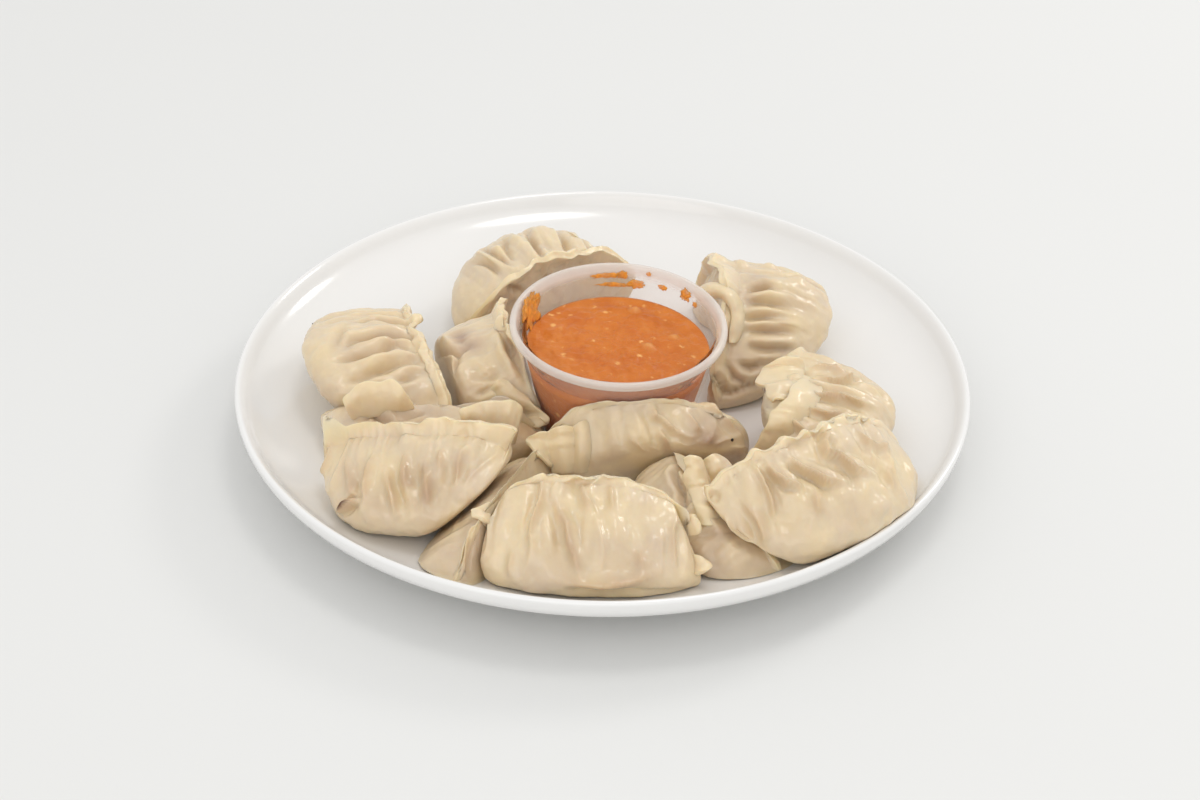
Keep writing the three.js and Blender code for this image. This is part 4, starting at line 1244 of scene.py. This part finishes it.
def flap_bmesh(half, seed, net):
    """A thick sheet of dough through a net of points. Also gives how far each vertex is from its root."""
    bm = bmesh.new()
    bmesh.ops.create_uvsphere(bm, u_segments=96, v_segments=56, radius=1)
    x, y, z = coordinates(bm).T
    x, y = FLAP_CORNER * x, FLAP_CORNER * y

    def square(a, b):
        """A place in a round disc as a place in a square, from 0 to 1."""
        even, odd = 2 + a * a - b * b, math.sqrt(8) * a
        return (np.sqrt(np.maximum(0, even + odd)) - np.sqrt(np.maximum(0, even - odd))) / 4 + 0.5

    def sheet(u, v):
        return np.einsum("ni,nj,ijk->nk", through(len(net), v), through(len(net[0]), u), net)

    u, v = square(x, y), square(y, x)
    waves = np.linalg.norm(net[-1][0] - net[-1][-1]) / FLAP_WAVE
    v = v * (1 - FLAP_EDGE * v * (1 + ripple(waves * u, np.zeros_like(u), seed + 30)) / 2)
    step = 0.01
    normals = np.cross(sheet(u + step, v) - sheet(u - step, v), sheet(u, v + step) - sheet(u, v - step))
    normals /= np.linalg.norm(normals, axis=1)[:, None]
    folds = ripple(waves * u, 1.4 * v, seed) + 0.4 * ripple(2.3 * waves * u, 3 * v, seed + 60)
    folds *= FLAP_FOLD * np.clip(2 * v, 0, 1)
    place(bm, sheet(u, v) + (half * np.sign(z) * np.abs(z) ** 0.4 + folds)[:, None] * normals)
    return bm, v


class MOMO_OT_momos(bpy.types.Operator):
    """Makes the twelve pleated momos"""

    bl_idname = "momo.momos"
    bl_label = "Momos"

    def execute(self, context):
        dough, cup, plate = map(in_millimetres, ("momo_dough", "momo_cup", "momo_plate"))
        material = steamed_dough(dough)
        for momo in MOMOS:
            bm, values = momo_bmesh(momo, dough, cup, plate)
            piece = new_object("dumpling_" + momo.name, bm, material, "momo_" + momo.name, slot="dough")
            store(piece, **values)
        return {"FINISHED"}


class MOMO_OT_flaps(bpy.types.Operator):
    """Makes the flaps of dough that stand out from the seams"""

    bl_idname = "momo.flaps"
    bl_label = "Flaps"

    def execute(self, context):
        cup, plate = map(in_millimetres, ("momo_cup", "momo_plate"))
        material = bpy.data.materials["steamed_dough"]
        for number, (owner, half, net) in enumerate(FLAPS, 1):
            bm, edge = flap_bmesh(half, number, np.reshape(net, (len(net), -1, 3)) / 10)
            place(bm, pressed(coordinates(bm), [], cup, plate))
            store(new_object("flap_%d_%s" % (number, owner), bm, material, slot="dough"), edge=edge)
        return {"FINISHED"}


def burnt_flour():
    """A crumb of burnt flour from the steamer, baked on: dry, dark and rough."""
    return new_material("burnt_flour", {"Base Color": shade("#1d1512"), "Roughness": 0.6})[0]


class MOMO_OT_specks(bpy.types.Operator):
    """Makes the burnt specks on the dough"""

    bl_idname = "momo.specks"
    bl_label = "Specks"

    def execute(self, context):
        dough, bm = in_millimetres("momo_dough"), bmesh.new()
        for number, (name, t, s, radius) in enumerate(SPECKS):
            momo = next(each for each in MOMOS if each.name == name)
            spot = Vector(on_skin(momo, dough, t, s)[0])
            skin = bpy.data.objects["dumpling_" + name].data.vertices
            nearest = min(skin, key=lambda vert: (vert.co / MM - spot).length)
            for vert in bmesh.ops.create_icosphere(bm, subdivisions=2, radius=radius)["verts"]:
                vert.co *= 1 + 0.3 * noise.noise(vert.co * 3 + Vector((number, 0, 0)))
                vert.co += nearest.co / MM + nearest.normal * radius * 0.3
        new_object("specks", bm, burnt_flour(), slot="dough")
        return {"FINISHED"}


# ---------------------------------------------------------------- stage


def plain_table(stage):
    """A plain table, painted pale and matt: nothing on it draws the eye."""
    material, tree, shader = new_material("pale_table_paint", {"Roughness": 0.6})
    here = {"Vector": add_node(tree, "TexCoord").outputs["Object"]}
    patches = add_node(tree, "TexNoise", here, in_Scale=every(250))
    tint = add_node(tree, "Mix", {"Factor": patches.outputs["Fac"]}, data_type="RGBA",
                    in_6=(*stage.floor, 1), in_7=shade("#e0e0de"))
    join(tree, shader, {"Base Color": tint.outputs[2]})
    return material


def add_soft_light(name, location, size, power, tint):
    light = bpy.data.lights.new(name, "AREA")
    light.shape = "DISK"
    light.size = size
    light.energy = power
    light.color = tint
    lamp = bpy.data.objects.new(name, light)
    bpy.context.scene.collection.objects.link(lamp)
    lamp.location = location
    lamp.rotation_euler = (-Vector(location)).to_track_quat("-Z", "Y").to_euler()


def add_camera(stage, rim):
    """Looks down at the plate so that the middle of its rim lies a little above the image's middle."""
    cos, sin = math.cos(stage.elevation), math.sin(stage.elevation)
    pixels = stage.lens / SENSOR * IMAGE_WIDTH
    right, forward = Vector((1, 0, 0)), Vector((0, cos, -sin))
    up = right.cross(forward)
    tip = Matrix.Rotation(-math.atan(AIM_DOWN / pixels), 3, right)
    forward, up = tip @ forward, tip @ up
    yaw = Matrix.Rotation(math.atan(AIM_LEFT / pixels), 3, up)
    forward, right = yaw @ forward, yaw @ right
    right, up = right * math.cos(ROLL) + up * math.sin(ROLL), up * math.cos(ROLL) - right * math.sin(ROLL)
    camera = bpy.data.cameras.new("camera")
    camera.lens = stage.lens
    camera.sensor_width = SENSOR
    camera.clip_start, camera.clip_end = 0.01, 20
    viewer = bpy.data.objects.new("camera", camera)
    bpy.context.scene.collection.objects.link(viewer)
    basis = Matrix((right, up, -forward)).transposed().to_4x4()
    viewer.matrix_world = Matrix.Translation((0, -stage.distance * cos, rim + stage.distance * sin)) @ basis
    bpy.context.scene.camera = viewer


class MOMO_OT_stage(bpy.types.Operator):
    """Makes the plain table, the soft studio light and the camera"""

    bl_idname = "momo.stage"
    bl_label = "Stage"

    def execute(self, context):
        stage, bm = context.scene.momo_stage, bmesh.new()
        bmesh.ops.create_grid(bm, x_segments=2, y_segments=2, size=4000)
        new_object("table", bm, plain_table(stage))
        for light in LIGHTS:
            add_soft_light(*light)
        world = bpy.data.worlds.new("soft_room")
        world.use_nodes = True
        background = world.node_tree.nodes["Background"].inputs
        background["Color"].default_value = (1, 1, 1, 1)
        background["Strength"].default_value = ROOM_LIGHT
        context.scene.world = world
        context.scene.view_settings.view_transform = "Standard"
        add_camera(stage, context.scene.momo_plate.height)
        return {"FINISHED"}


# ---------------------------------------------------------------- panel, registration and run


class MOMO_PT_panel(bpy.types.Panel):
    """The pieces of the plate of momo"""

    bl_idname = "MOMO_PT_panel"
    bl_label = "Plate of momo"
    bl_space_type = "VIEW_3D"
    bl_region_type = "UI"
    bl_category = "Momo"

    def draw(self, context):
        for group, operator in STEPS:
            box = self.layout.box()
            sizes = getattr(context.scene, group)
            for name in prop_names(sizes):
                box.prop(sizes, name)
            box.operator(operator)


STEPS = [
    ("momo_plate", "momo.plate"),
    ("momo_cup", "momo.cup"),
    ("momo_dip", "momo.dip"),
    ("momo_dough", "momo.momos"),
    ("momo_dough", "momo.flaps"),
    ("momo_dough", "momo.specks"),
    ("momo_stage", "momo.stage"),
]
GROUPS = {
    "momo_plate": MomoPlateSizes,
    "momo_cup": MomoCupSizes,
    "momo_dip": MomoDipSizes,
    "momo_dough": MomoDoughSizes,
    "momo_stage": MomoStageSizes,
}
CLASSES = [*GROUPS.values(), MOMO_OT_plate, MOMO_OT_cup, MOMO_OT_dip, MOMO_OT_momos, MOMO_OT_flaps,
           MOMO_OT_specks, MOMO_OT_stage, MOMO_PT_panel]


def register():
    for item in CLASSES:
        bpy.utils.register_class(item)
    for name, group in GROUPS.items():
        setattr(bpy.types.Scene, name, PointerProperty(type=group))


def unregister():
    for name in GROUPS:
        delattr(bpy.types.Scene, name)
    for item in reversed(CLASSES):
        bpy.utils.unregister_class(item)


def main():
    register()
    bpy.ops.momo.plate()
    bpy.ops.momo.cup()
    bpy.ops.momo.dip()
    bpy.ops.momo.momos()
    bpy.ops.momo.flaps()
    bpy.ops.momo.specks()
    bpy.ops.momo.stage()


if __name__ == "__main__":
    main()
